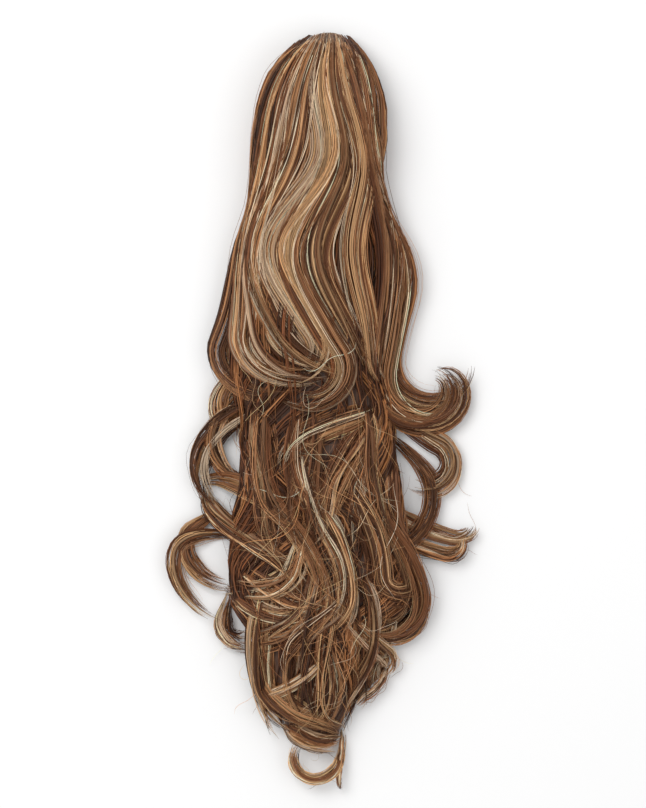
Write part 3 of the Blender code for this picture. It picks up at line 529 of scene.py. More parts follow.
@dataclass(frozen=True)
class Lock:
    """One lock: shares and degrees as in the table, and the path worked out from them."""

    name: str
    root_x: float
    root_y: float
    root_heading: float
    curl_x: float
    curl_y: float
    curl_heading: float
    sway: float
    turn: float
    first_radius: float
    last_radius: float
    half_width: float
    lift: float
    layer: Layer
    blonde: float
    dark: float

    @property
    def from_crown(self) -> bool:
        """Whether the lock falls from the crown."""
        return self.layer in (Layer.CROWN_LEFT, Layer.CROWN_RIGHT)

    @property
    def half_thickness(self) -> float:
        """Half of the lock's thickness in metres."""
        return max(self.half_width * HAIR_HALF_SPREAD * LOCK_FLATNESS, LEAST_LOCK_HALF_THICKNESS)

    def plan(self, wisp: float) -> tuple[np.ndarray, float]:
        """Plan view: a cubic fall from root to curl that sways with the whole hair, then a spiral.

        Args:
            wisp: how much further than the solid's end the finest strands run, as a share of the curl.

        Returns:
            Points in the table's plane, and the share of them that is the fall.
        """
        root = np.array((self.root_x * HAIR_HALF_SPREAD, (0.5 - self.root_y) * HAIR_LENGTH))
        curl = np.array((self.curl_x * HAIR_HALF_SPREAD, (0.5 - self.curl_y) * HAIR_LENGTH))
        reach = np.linalg.norm(curl - root)
        heads = [math.radians(self.root_heading), math.radians(self.curl_heading)]
        tangents = [reach * np.array((math.sin(head), -math.cos(head))) for head in heads]
        t = np.linspace(0.0, 1.0, FALL_POINTS)[:, None]
        fall = (2 * t**3 - 3 * t**2 + 1) * root + (t**3 - 2 * t**2 + t) * tangents[0]
        fall += (3 * t**2 - 2 * t**3) * curl + (t**3 - t**2) * tangents[1]
        along = 0.5 - fall[:, 1] / HAIR_LENGTH
        wave = np.cos(2 * np.pi * (along - SWAY_LEFTMOST_SHARE) / SWAY_PERIOD_SHARE)
        fall[:, 0] -= self.sway * HAIR_HALF_SPREAD * wave * np.sin(np.pi * t[:, 0]) ** SWAY_EASE
        turn = math.radians(self.turn) * (1 + wisp)
        share = (np.arange(CURL_POINTS) + 0.5) / CURL_POINTS * (1 + wisp)
        radius = self.first_radius + (self.last_radius - self.first_radius) * share
        last = fall[-1] - fall[-2]
        heading = math.atan2(last[0], -last[1]) + math.radians(self.turn) * share
        curled = radius * HAIR_HALF_SPREAD * abs(turn)
        stride = (curled if self.turn else STRAIGHT_WISP * wisp) / CURL_POINTS
        points = np.concatenate((fall, fall[-1] + np.cumsum(moves_along(heading, stride), axis=0)))
        return points, len(fall) / len(points)

    def middle_line(self, mass: HairMass, count: int, wisp: float) -> tuple[np.ndarray, np.ndarray]:
        """The lock's middle line, its points closer together where it bends.

        Args:
            mass: what the lock lies on.
            count: how many points.
            wisp: how much further than the solid's end the finest strands run.

        Returns:
            Points by three, and for each its share of the way through the fall, over 1 in the curl.
        """
        plan, fall_share = self.plan(wisp)
        thickness = self.half_thickness
        heights = self.lift * mass.top(plan[:, 0], plan[:, 1]) - thickness * LOCK_SUNK_SHARE
        heights = running_mean(np.maximum(heights, thickness + LOCK_CLEAR_OF_TABLE), HEIGHT_EASE_REACH)
        points = np.column_stack((plan, heights))
        steps = np.diff(points, axis=0)
        headings = np.unwrap(np.arctan2(steps[:, 0], -steps[:, 1]))
        turning = np.abs(np.diff(headings, prepend=headings[0]))
        pace = np.linalg.norm(steps, axis=1) / STRAIGHT_PACE + turning / math.radians(BEND_PACE_DEG)
        travelled = np.concatenate(((0.0,), np.cumsum(pace)))
        even = np.linspace(0.0, travelled[-1], count)
        made = np.stack([np.interp(even, travelled, points[:, i]) for i in range(3)], axis=1)
        shares = np.linspace(0.0, 1.0 / fall_share, len(points))
        return made, np.interp(even, travelled, shares)

    def wants(self) -> int:
        """How many points the lock's strands need for its length and its bends."""
        curl = math.radians(abs(self.turn)) / math.radians(BEND_STEP_DEG)
        fall = (self.curl_y - self.root_y) * HAIR_LENGTH / STRAIGHT_STEP
        wanted = round(SPARE_POINTS + curl * BEND_STEP_SHARE + fall)
        return int(np.clip(wanted, FEWEST_POINTS, MOST_POINTS))


def named_locks() -> list[Lock]:
    """Both tables' rows as locks."""
    return [Lock(**dict(zip(LOCK_COLUMNS, row))) for row in LOCK_ROWS + FINE_LOCK_ROWS]


@dataclass
class Palette:
    """Chooses fibre colours for clumps and strands."""

    rng: np.random.Generator
    chestnut_share: float = 0.56
    blonde_share: float = 0.55
    warmth: float = 0.25
    darkest: float = 0.004
    lightest: float = 0.92

    def clump_tones(self, count: int, blonde: float, dark: float) -> np.ndarray:
        """One colour for each clump.

        Args:
            count: how many clumps.
            blonde: share of them that is blonde or pale.
            dark: share of them that is lowlight.

        Returns:
            Clumps by three.
        """
        rest = 1.0 - blonde - dark
        brown = (rest * self.chestnut_share, rest * (1 - self.chestnut_share))
        fair = (blonde * self.blonde_share, blonde * (1 - self.blonde_share))
        weights = (dark, *brown, *fair)
        tones = np.array([tone.value for tone in Tone])
        return tones[self.rng.choice(len(tones), size=count, p=np.array(weights) / sum(weights))]

    def varied(self, colours: np.ndarray, spread: float) -> np.ndarray:
        """The colours made a little lighter or darker, and a little warmer or cooler, each by itself."""
        light = np.exp(self.rng.normal(0.0, spread, (len(colours), 1)))
        drift = self.rng.normal(0.0, spread * self.warmth, (len(colours), 1))
        warm = np.exp(drift * np.array((0.6, 0.0, -1.0)))
        return np.clip(colours * light * warm, self.darkest, self.lightest)


@dataclass
class Tress:
    """The fibres of one lock, in bundles side by side that part towards the tip, with strands on each."""

    lock: Lock
    mass: HairMass
    rng: np.random.Generator
    bundle_spacing: float = 0.0023
    strand_radius: float = 0.00027
    strands_a_bundle: int = 11
    core_width: float = 0.58
    # Painted shade: a bundle's core is painted this much darker than its tones, so that shade shows between
    # its strands
    painted_core_shade: float = 0.50
    crown_strands_a_bundle: int = 12
    strands_a_wisp: int = 3
    root_stagger: float = 0.20
    wisp: float = 0.16
    layer_depth: float = 0.0042
    crown_rounding: float = 0.14
    root_height: float = 0.72
    root_bend: float = 0.02
    flatness: float = 0.62
    # Painted shade: the lowest bundle of a lock is painted this dark, and its shade is painted warmer by
    # these powers
    deepest_painted_shade: float = 0.52
    warmth_of_painted_shade: Triple = (0.80, 1.20, 1.60)
    root_depth: float = 0.0120
    side_start: float = 0.005
    core_sides: int = 5
    fewest_bundles: int = 5
    most_bundles: int = 12
    line_points: int = 160
    blonder_below_crown: float = 0.08
    plain_blonde_share: float = 0.3
    own_tone_share: float = 0.6
    stray_share: float = 0.07
    other_tone_share: float = 0.66
    tone_spread: float = 0.16
    wobble_reach: float = 0.00035
    least_bundle_height: float = 0.0022
    least_strand_height: float = 0.0009

    @property
    def loosens(self) -> float:
        """The share of the way along a lock from which its fibres taper and part."""
        return 0.74 if self.lock.from_crown else 0.56

    def parting(self, t: np.ndarray) -> np.ndarray:
        """How far the fibres have parted at shares of the way along, up to 1 at the tip."""
        return np.clip((t - self.loosens) / (1 - self.loosens), 0.0, 1.0) ** 2

    def build(self) -> tuple[MeshData, MeshData]:
        """The lock's bundles, and the strands that lie on them."""
        centres, widths = self.bundles()
        palette = Palette(self.rng)
        blonde = self.lock.blonde + (0.0 if self.lock.from_crown else self.blonder_below_crown)
        tones = palette.clump_tones(len(centres), blonde, self.lock.dark)
        plain_blonde = self.lock.blonde * self.plain_blonde_share
        plain = palette.clump_tones(len(centres), plain_blonde, self.lock.dark)
        # Painted shade: bundles lying lower in the lock, by rank of height, are painted darker and warmer
        height = self.mass.top(centres[..., 0], centres[..., 1]).mean(axis=1)
        rise = centres[..., 2].mean(axis=1) - height
        depth = np.argsort(np.argsort(rise)) / max(len(rise) - 1, 1)
        shade = self.deepest_painted_shade + (1 - self.deepest_painted_shade) * depth
        tones = tones * self.own_tone_share + plain * (1 - self.own_tone_share)
        tones = tones * shade[:, None] ** np.array(self.warmth_of_painted_shade)
        # Painted shade: the cores are the bundles' tones darkened by the core's painted shade
        cores = tubes(
            centres, widths * self.core_width, tones * self.painted_core_shade, self.core_sides, self.flatness,
            phase=np.full(len(centres), -np.pi / 2),
        )
        return cores, self.strands(centres, widths, tones)

    def bundles(self) -> tuple[np.ndarray, np.ndarray]:
        """Middle lines and half widths of the bundles.

        A bundle's point is the lock's middle line, plus its place aside times the lock's half width,
        plus its place above times the half thickness. Both places meander slowly and drift at the tip.
        A bundle from the crown is laid on the dome of the mass until near the end of its fall.

        Returns:
            Bundles by points by three, and bundles by points, in metres.
        """
        lock, rng = self.lock, self.rng
        lock_half = lock.half_width * HAIR_HALF_SPREAD
        wanted = round(2 * lock_half / self.bundle_spacing)
        count = int(np.clip(wanted, self.fewest_bundles, self.most_bundles))
        line, fall = lock.middle_line(self.mass, self.line_points, self.wisp)
        side, over = side_and_over(unit(np.gradient(line, axis=0)))
        index = np.arange(len(line))
        t = np.linspace(0.0, 1.0, lock.wants())[None, :]
        share = t * rng.uniform(0.90 if lock.from_crown else 0.84, 1.0, (count, 1))
        at = share * index[-1]

        def along(values: np.ndarray) -> np.ndarray:
            """The middle line's values at every point of every bundle."""
            return np.stack([np.interp(at, index, values[:, i]) for i in range(3)], axis=-1)

        aside = np.linspace(-0.88, 0.88, count)[:, None] + rng.normal(0.0, 0.05, (count, 1))
        above = rng.uniform(-0.6, 0.9, (count, 1)) * np.sqrt(1 - np.clip(np.abs(aside), 0, 0.95) ** 2)
        tip = self.parting(t)
        q = aside + 0.12 * np.sin(2 * np.pi * (1.3 * t + rng.uniform(size=(count, 1))))
        q = q + tip * rng.normal(0.0, 0.22 if lock.from_crown else 0.75, (count, 1))
        v = above + 0.15 * np.sin(2 * np.pi * (1.1 * t + rng.uniform(size=(count, 1))))
        v = v + tip * rng.normal(0.1, 0.45, (count, 1))
        swell = np.interp(share, (0.0, 0.25, 0.60, 1.0), (0.45, 1.0, 1.0, 0.60))
        paths = along(line) + along(side) * (lock_half * swell * q)[..., None]
        paths = paths + along(over) * (lock.half_thickness * swell * v)[..., None]
        if lock.from_crown:
            paths = self.laid_on_dome(paths, v, np.interp(at, index, fall), t)
            taper = np.interp(t, (0.0, 0.05), (0.70, 1.0))
        else:
            paths[..., 2] -= self.root_depth * (1.0 - smooth_step(0.0, 0.22, t))
            taper = np.interp(t, (0.0, 0.20), (0.08, 1.0))
        paths[..., 2] = np.maximum(paths[..., 2], self.least_bundle_height)
        taper_from = rng.uniform(self.loosens, 0.5 + 0.5 * self.loosens, (count, 1))
        taper = taper * np.clip((1.0 - t) / (1.0 - taper_from), 0.06, 1.0) ** 0.8
        widths = 1.9 * lock_half / count * swell * taper * rng.uniform(0.85, 1.2, (count, 1))
        return paths, widths

    def laid_on_dome(self, paths: np.ndarray, v: np.ndarray, fall: np.ndarray, t: np.ndarray) -> np.ndarray:
        """Draws a fall's points onto the dome, its first ones back round the end of the crown.

        Args:
            paths: bundles by points by three.
            v: each point's place above the lock's middle, from -1 to 1.
            fall: each point's share of the way through the fall.
            t: shares of the way along a bundle.

        Returns:
            The paths, moved.
        """
        rows = dict(zip(MASS_COLUMNS, np.array(MASS_ROWS[:CROWN_END_ROWS]).T))
        middle = (rows["left"][0] + rows["right"][0]) / 2 * HAIR_HALF_SPREAD
        reach = np.abs(paths[:, :1, 0] - middle)
        halves = (rows["right"] - rows["left"]) / 2 * HAIR_HALF_SPREAD
        rounded = self.side_start * np.minimum(reach / halves[0], 1.0) ** 2
        starts = np.interp(reach, halves, rows["along"]) + rounded
        lower = (starts - (0.5 - paths[:, :1, 1] / HAIR_LENGTH)) * HAIR_LENGTH
        paths[..., 1] -= lower * (1.0 - smooth_step(0.0, self.crown_rounding, t))
        inside, top = self.mass.dome(paths[..., 0], paths[..., 1])
        depth = (1.0 - np.clip(v, -1.0, 1.0)) / 2 * self.layer_depth
        paths[..., 0] += (inside - paths[..., 0]) * (1.0 - smooth_step(0.50, 0.85, fall))
        paths[..., 2] += (top - depth - paths[..., 2]) * (1.0 - smooth_step(0.68, 1.02, fall))
        paths[..., 2] *= self.root_height + (1.0 - self.root_height) * smooth_step(0.0, self.root_bend, t)
        return paths

    def strands(self, centres: np.ndarray, widths: np.ndarray, tones: np.ndarray) -> MeshData:
        """Strands round the upper side of each bundle, some of them straying from it.

        A strand's point is its bundle's middle line, plus its reach times the cosine of its angle to
        the side, plus its reach times the flatness times the sine upwards.

        Args:
            centres: the bundles' middle lines.
            widths: their half widths.
            tones: their colours.

        Returns:
            The strands as one mesh's arrays.
        """
        rng, lock = self.rng, self.lock
        each = self.crown_strands_a_bundle if lock.from_crown else self.strands_a_bundle
        bundle = np.repeat(np.arange(len(centres)), each)
        count, steps = len(bundle), centres.shape[1]
        t = np.linspace(0.0, 1.0, steps)[None, :]
        begin = rng.uniform(0.0, 0.01 if lock.from_crown else self.root_stagger, (count, 1))
        at = (begin + t * (rng.uniform(0.88, 1.0, (count, 1)) - begin)) * (steps - 1)
        side, over = side_and_over(unit(np.gradient(centres, axis=1)))
        stray = rng.uniform(size=(count, 1)) < self.stray_share
        wisp = np.arange(count) // self.strands_a_wisp
        wisps = wisp[-1] + 1
        angle = rng.uniform(-0.20 * np.pi, 1.20 * np.pi, (wisps, 1))[wisp]
        angle = angle + rng.normal(0.0, 0.34, (count, 1))
        angle = angle + rng.normal(0.0, 0.4, (wisps, 1))[wisp] * t
        tip = self.parting(t)
        spread = rng.uniform(0.88, 1.14, (count, 1)) * (1.0 + (1.0 if lock.from_crown else 2.2) * tip)
        spread = np.where(stray, spread * rng.uniform(1.2, 2.2, (count, 1)), spread)
        reach = sampled(widths[bundle][..., None], at)[..., 0] * spread
        wobble = self.wobble_reach * np.where(stray, 3.0, 1.0) * np.sin(
            2 * np.pi * (t * rng.uniform(1.5, 3.5, (count, 1)) + rng.uniform(size=(count, 1)))
        )
        across = reach * np.cos(angle) + wobble
        upward = reach * np.sin(angle) * self.flatness + wobble * 0.5
        paths = sampled(centres[bundle], at) + sampled(side[bundle], at) * across[..., None]
        paths = paths + sampled(over[bundle], at) * upward[..., None]
        paths[..., 2] = np.maximum(paths[..., 2], self.least_strand_height)
        thin = np.interp(t, (0.0, 0.08, 0.75, 1.0), (0.75, 1.0, 1.0, 0.20))
        radii = self.strand_radius * rng.uniform(0.70, 1.25, (count, 1)) * thin * np.where(stray, 0.60, 1.0)
        palette = Palette(rng)
        others = palette.clump_tones(wisps, lock.blonde, lock.dark)[wisp]
        takes_other = rng.uniform(size=(wisps, 1))[wisp] < self.other_tone_share
        colours = palette.varied(np.where(takes_other, others, tones[bundle]), self.tone_spread)
        return tubes(paths, radii, colours, STRAND_SIDES, phase=rng.uniform(0, 2 * np.pi, count))


@dataclass
class Mantle:
    """Strands on the skin of the mass all the way round, which fill its sides and the gaps on top."""

    mass: HairMass
    rng: np.random.Generator
    strand_radius: float = 0.00085
    flatness: float = 0.45
    # Painted shade: how much darker and warmer the strands on the mass's skin, under the locks, are painted
    shade: Triple = (0.76, 0.66, 0.56)
    lowest_angle: float = -0.95
    least_proud: float = 0.0010
    proud_spread: float = 0.0022
    proud_wave: float = 0.0010
    strands_a_clump: int = 7
    fewest_clumps: int = 8
    wave_share: float = 0.62
    tone_spread: float = 0.22

    def build(
        self, count: int, steps: int, start: tuple[float, float], end: tuple[float, float],
        curl: float, blonde: float, dark: float,
    ) -> MeshData:
        """Strands at angles round the mass that drift in slow waves as they run along it.

        Args:
            count: how many strands.
            steps: points in each.
            start: the lowest and highest share of the length where a strand starts.
            end: the same for where it ends.
            curl: how far the waves carry a strand round the mass, in radians.
            blonde: share of strands that is blonde.
            dark: share that is lowlight.

        Returns:
            The strands as one mesh's arrays.
        """
        rng = self.rng
        t = np.linspace(0.0, 1.0, steps)[None, :]
        first = rng.uniform(*start, (count, 1))
        last = rng.uniform(*end, (count, 1))
        along = first + (last - first) * t
        clumps = max(self.fewest_clumps, count // self.strands_a_clump)
        clump = rng.integers(0, clumps, count)
        clump_angle = rng.uniform(self.lowest_angle, np.pi - self.lowest_angle, clumps)
        angle = clump_angle[clump][:, None] + rng.normal(0.0, 0.075, (count, 1))
        phase = 1.4 * clump_angle[clump][:, None] + rng.normal(0.0, 0.22, (count, 1))
        wave = np.sin(2 * np.pi * along / (SWAY_PERIOD_SHARE * self.wave_share) + phase)
        angle = angle + curl * wave * smooth_step(0.10, 0.50, along)
        proud = self.least_proud + rng.uniform(0.0, self.proud_spread, (count, 1))
        proud = proud + self.proud_wave * np.sin(5 * t * np.pi + phase)
        paths = self.mass.skin(along, angle, proud)
        thin = tapered(t, 0.4, 0.2, root_pace=5.0)
        radii = self.strand_radius * rng.uniform(0.75, 1.25, (count, 1)) * thin
        palette = Palette(rng)
        tones = palette.varied(palette.clump_tones(clumps, blonde, dark)[clump], self.tone_spread)
        # Painted shade: the strands darkened and warmed to stand for the shade under the locks
        tones = tones * np.array(self.shade)
        turned = rng.uniform(0, 2 * np.pi, count)
        return tubes(paths, radii, tones, STRAND_SIDES, self.flatness, phase=turned)


@dataclass
class Tangle:
    """Fine wavy strands that cross over the curls of the lower half."""

    mass: HairMass
    rng: np.random.Generator
    strand_radius: float = 0.00016
    steps: int = 26
    above: float = 0.0062
    aside: float = 0.004
    first_share: float = 0.44
    last_share: float = 0.90
    shortest: float = 0.035
    longest: float = 0.115
    least_height: float = 0.0100
    ease_reach: int = 4
    blonde: float = 0.25
    dark: float = 0.10
    tone_spread: float = 0.2

    def build(self, count: int) -> MeshData:
        """Strands that head down the hair and turn to and fro.

        A strand's heading is its first one plus a slow wave and an even turn, its points add up its
        strides along that heading, and its height is the mass's top plus a little.

        Args:
            count: how many strands.

        Returns:
            The strands as one mesh's arrays.
        """
        rng = self.rng
        along = rng.uniform(self.first_share, self.last_share, count)
        middle, half, _ = self.mass.section(along)
        x = middle + half * np.clip(rng.normal(0.0, 0.62, count), -1.15, 1.15)
        start = np.stack((x, (0.5 - along) * HAIR_LENGTH), axis=-1)
        t = np.linspace(0.0, 1.0, self.steps)[None, :]
        heading = rng.normal(0.0, 0.60, (count, 1)) + rng.normal(0.0, 0.9, (count, 1)) * t
        heading = heading + rng.uniform(0.2, 0.7, (count, 1)) * np.sin(
            2 * np.pi * (t * rng.uniform(0.7, 1.4, (count, 1)) + rng.uniform(size=(count, 1)))
        )
        stride = rng.uniform(self.shortest, self.longest, (count, 1)) / (self.steps - 1)
        plan = start[:, None, :] + np.cumsum(moves_along(heading, stride), axis=1)
        near = np.all(np.abs(plan[..., 0]) < HAIR_HALF_SPREAD * 0.98, axis=1)
        near &= np.all(plan[..., 1] > -HAIR_LENGTH * 0.45, axis=1)
        middle, half, _ = self.mass.section(0.5 - plan[..., 1] / HAIR_LENGTH)
        near &= np.all(np.abs(plan[..., 0] - middle) < half * 1.10 + self.aside, axis=1)
        plan = plan[near]
        top = self.mass.top(plan[..., 0], plan[..., 1])
        lift = self.above * rng.uniform(0.55, 1.20, (len(plan), 1))
        z = eased_rows(np.maximum(top * 1.03 + lift, self.least_height), self.ease_reach)
        paths = np.concatenate((plan, z[..., None]), axis=-1)
        radii = self.strand_radius * rng.uniform(0.6, 1.3, (len(plan), 1)) * tapered(t, 0.25, 0.20)
        palette = Palette(rng)
        tones = palette.varied(palette.clump_tones(len(plan), self.blonde, self.dark), self.tone_spread)
        return tubes(paths, radii, tones, STRAND_SIDES, phase=rng.uniform(0, 2 * np.pi, len(plan)))


@dataclass
class LooseHairs:
    """Single hairs that stand away from the locks and curl over the table beside them."""

    mass: HairMass
    rng: np.random.Generator
    hair_radius: float = 0.00013
    steps: int = 36
    line_points: int = 60
    first_pick: int = 22
    last_pick: int = 56
    shortest: float = 0.010
    longest: float = 0.034
    above: float = 0.0065
    over_mass: float = 0.007
    least_height: float = 0.0010
    ease_reach: int = 4
    blonde: float = 0.30
    dark: float = 0.10
    tone_spread: float = 0.2

    def build(self, locks: list[Lock], each: int) -> MeshData:
        """Hairs that start on a lock and leave it sideways in arcs of their own.

        A hair's heading starts along the lock and turns at its own even rate plus a slow wave, and its
        points add up its strides along that heading.

        Args:
            locks: the locks that they come from.
            each: how many to a lock.

        Returns:
            The hairs as one mesh's arrays.
        """
        rng = self.rng
        places, headings = [], []
        for lock in locks:
            line, _ = lock.middle_line(self.mass, self.line_points, 0.0)
            picks = rng.integers(self.first_pick, self.last_pick, each)
            steps = line[picks] - line[picks - 1]
            places.append(line[picks] + rng.normal(0.0, 0.004, (each, 3)) * np.array((1, 1, 0.3)))
            headings.append(np.arctan2(steps[:, 0], -steps[:, 1]))
        start = np.concatenate(places)
        heading = np.concatenate(headings)[:, None]
        count = len(start)
        t = np.linspace(0.0, 1.0, self.steps)[None, :]
        side = np.sign(start[:, :1])
        heading = heading + side * rng.uniform(0.1, 0.6, (count, 1))
        heading = heading + rng.normal(-0.4, 1.6, (count, 1)) * side * t
        heading = heading + 0.35 * np.sin(2 * np.pi * (t * 1.2 + rng.uniform(size=(count, 1))))
        stride = rng.uniform(self.shortest, self.longest, (count, 1)) / (self.steps - 1)
        plan = start[:, None, :2] + np.cumsum(moves_along(heading, stride), axis=1)
        near = np.all(np.abs(plan[..., 0]) < HAIR_HALF_SPREAD * 1.05, axis=1)
        near &= np.all(np.abs(plan[..., 1]) < HAIR_LENGTH * 0.505, axis=1)
        plan, start = plan[near], start[near]
        count = len(plan)
        top = self.mass.top(plan[..., 0], plan[..., 1]) + self.above
        sinking = start[:, 2:3] * (1 - 0.7 * t)
        z = np.where(top > self.over_mass, np.maximum(start[:, 2:3], top), sinking)
        z = eased_rows(np.maximum(z, self.least_height), self.ease_reach)
        paths = np.concatenate((plan, z[..., None]), axis=-1)
        radii = self.hair_radius * rng.uniform(0.7, 1.3, (count, 1)) * tapered(t, 1.0, 0.3)
        palette = Palette(rng)
        tones = palette.varied(palette.clump_tones(count, self.blonde, self.dark), self.tone_spread)
        return tubes(paths, radii, tones, STRAND_SIDES)


class Recipe:
    """A new material with its main shader, and the kinds of node that the finishes share."""

    def __init__(self, name: str) -> None:
        """Makes the material, plain as yet."""
        self.material = bpy.data.materials.new(name)
        self.material.use_nodes = True
        self.tree = self.material.node_tree
        self.shader = self.tree.nodes["Principled BSDF"]

    def attribute(self, name: str, output: str) -> bpy.types.NodeSocket:
        """One of the mesh's own attributes, read as a colour or as a vector."""
        node = self.tree.nodes.new("ShaderNodeAttribute")
        node.attribute_name = name
        return node.outputs[output]

    def object_place(self) -> bpy.types.NodeSocket:
        """The place on the object, in metres."""
        return self.tree.nodes.new("ShaderNodeTexCoord").outputs["Object"]

    def stretched(self, source: bpy.types.NodeSocket, scale: Triple) -> bpy.types.NodeSocket:
        """The source's coordinates, each times its own scale."""
        node = self.tree.nodes.new("ShaderNodeMapping")
        node.inputs["Scale"].default_value = scale
        self.tree.links.new(source, node.inputs["Vector"])
        return node.outputs["Vector"]

    def noise(
        self, source: bpy.types.NodeSocket, scale: float = 1.0, detail: float = 2.0
    ) -> bpy.types.NodeSocket:
        """Soft noise over the source's coordinates."""
        node = self.tree.nodes.new("ShaderNodeTexNoise")
        node.inputs["Scale"].default_value = scale
        node.inputs["Detail"].default_value = detail
        self.tree.links.new(source, node.inputs["Vector"])
        return node.outputs["Fac"]

    def ranged(
        self, source: bpy.types.NodeSocket, low: float, high: float, of: tuple[float, float] = (0.0, 1.0)
    ) -> bpy.types.NodeSocket:
        """The source's values carried from one range to another.

        Args:
            source: what is carried.
            low: where the range's lower end goes.
            high: where its upper end goes.
            of: the source's own range.

        Returns:
            The values in the new range.
        """
        node = self.tree.nodes.new("ShaderNodeMapRange")
        node.inputs["From Min"].default_value, node.inputs["From Max"].default_value = of
        node.inputs["To Min"].default_value = low
        node.inputs["To Max"].default_value = high
        self.tree.links.new(source, node.inputs["Value"])
        return node.outputs["Result"]

    def base_ramp(
        self, source: bpy.types.NodeSocket, ends: tuple[float, float], colours: tuple[Triple, Triple]
    ) -> None:
        """Runs the base colour from the first colour to the second as the source goes between the ends."""
        node = self.tree.nodes.new("ShaderNodeValToRGB")
        for element, end, colour in zip(node.color_ramp.elements, ends, colours):
            element.position = end
            element.color = (*colour, 1.0)
        self.tree.links.new(source, node.inputs["Fac"])
        self.tree.links.new(node.outputs["Color"], self.shader.inputs["Base Color"])

    def bump(self, height: bpy.types.NodeSocket, strength: float, distance: float) -> None:
        """Raises the surface by the height, in the look only."""
        node = self.tree.nodes.new("ShaderNodeBump")
        node.inputs["Strength"].default_value = strength
        node.inputs["Distance"].default_value = distance
        self.tree.links.new(height, node.inputs["Height"])
        self.tree.links.new(node.outputs["Normal"], self.shader.inputs["Normal"])


@dataclass(frozen=True)
class HairFinish:
    """Glossy fibre: the strand's own colour, broken by fine streaks that run along it."""

    name: str
    roughness: float = 0.42
    gloss: float = 0.26
    streaks_apart: float = 17.0
    streaks_a_metre: float = 34.0
    streaks_a_turn: float = 9.0
    bump: float = 0.25
    bump_depth: float = 0.0002
    darkest: float = 0.62
    lightest: float = 1.30

    def material(self) -> bpy.types.Material:
        """Builds the finish from the strand's colour and its run attribute."""
        recipe = Recipe(self.name)
        colour = recipe.attribute("fibre_colour", "Color")
        scale = (self.streaks_apart, self.streaks_a_metre, self.streaks_a_turn)
        run = recipe.stretched(recipe.attribute("fibre_run", "Vector"), scale)
        streaks = recipe.noise(run, detail=3.0)
        shade = recipe.ranged(streaks, self.darkest, self.lightest, of=(0.25, 0.75))
        tinted = recipe.tree.nodes.new("ShaderNodeVectorMath")
        tinted.operation = "SCALE"
        recipe.tree.links.new(colour, tinted.inputs[0])
        recipe.tree.links.new(shade, tinted.inputs["Scale"])
        recipe.tree.links.new(tinted.outputs["Vector"], recipe.shader.inputs["Base Color"])
        recipe.bump(streaks, self.bump, self.bump_depth)
        recipe.shader.inputs["Roughness"].default_value = self.roughness
        recipe.shader.inputs["Specular IOR Level"].default_value = self.gloss
        return recipe.material


@dataclass(frozen=True)
class BackingFinish:
    """Packed fibre on the backing, painted dark as the shade deep in the hair, and streaked along the hair.
    """

    name: str = "backing_fibre"
    # Painted shade: how much darker than the hair's own tones the backing is painted
    painted_depth_shade: float = 0.45
    streaks: Triple = (900.0, 30.0, 900.0)

    def material(self) -> bpy.types.Material:
        """Builds the finish from object coordinates, stretched along the hair."""
        recipe = Recipe(self.name)
        streaks = recipe.noise(recipe.stretched(recipe.object_place(), self.streaks), detail=4.0)
        # Painted shade: both ends of the ramp are the hair's own tones darkened to stand for the shade deep
        # in the hair
        dark, light = (
            tuple(self.painted_depth_shade * np.array(tone.value)) for tone in (Tone.LOWLIGHT, Tone.CHESTNUT)
        )
        recipe.base_ramp(streaks, (0.36, 0.68), (dark, light))
        recipe.bump(streaks, 0.6, 0.0006)
        recipe.shader.inputs["Roughness"].default_value = 0.52
        return recipe.material


@dataclass(frozen=True)
class PlasticFinish:
    """Glossy charcoal moulding with faint flow marks and handling wear."""

    name: str = "clip_moulding"
    colour: Triple = (0.022, 0.023, 0.028)
    worn_colour: Triple = (0.060, 0.062, 0.070)
    coat: float = 0.35
    coat_roughness: float = 0.12

    def material(self) -> bpy.types.Material:
        """Builds the finish from object coordinates."""
        recipe = Recipe(self.name)
        place = recipe.object_place()
        marks = recipe.noise(place, scale=160.0, detail=5.0)
        recipe.base_ramp(marks, (0.45, 0.85), (self.colour, self.worn_colour))
        rough = recipe.ranged(marks, 0.16, 0.36)
        recipe.tree.links.new(rough, recipe.shader.inputs["Roughness"])
        recipe.bump(recipe.noise(place, scale=60.0), 0.10, 0.0006)
        recipe.shader.inputs["Coat Weight"].default_value = self.coat
        recipe.shader.inputs["Coat Roughness"].default_value = self.coat_roughness
        return recipe.material


@dataclass(frozen=True)
class SteelFinish:
    """Drawn spring steel with fine die lines round the wire."""

    name: str = "sprung_steel"
    colour: Triple = (0.58, 0.58, 0.60)
    lines: Triple = (300.0, 3000.0, 3000.0)

    def material(self) -> bpy.types.Material:
        """Builds the finish from object coordinates, its lines close together across the pin."""
        recipe = Recipe(self.name)
        lines = recipe.noise(recipe.stretched(recipe.object_place(), self.lines))
        rough = recipe.ranged(lines, 0.20, 0.42)
        recipe.tree.links.new(rough, recipe.shader.inputs["Roughness"])
        recipe.shader.inputs["Base Color"].default_value = (*self.colour, 1.0)
        recipe.shader.inputs["Metallic"].default_value = 1.0
        return recipe.material


@dataclass(frozen=True)
class TableFinish:
    """A plain pale table top."""

    name: str = "pale_table"
    colour: Triple = (0.90, 0.90, 0.90)
    roughness: float = 0.75

    def material(self) -> bpy.types.Material:
        """Builds the finish, one even tone."""
        recipe = Recipe(self.name)
        recipe.shader.inputs["Base Color"].default_value = (*self.colour, 1.0)
        recipe.shader.inputs["Roughness"].default_value = self.roughness
        return recipe.material


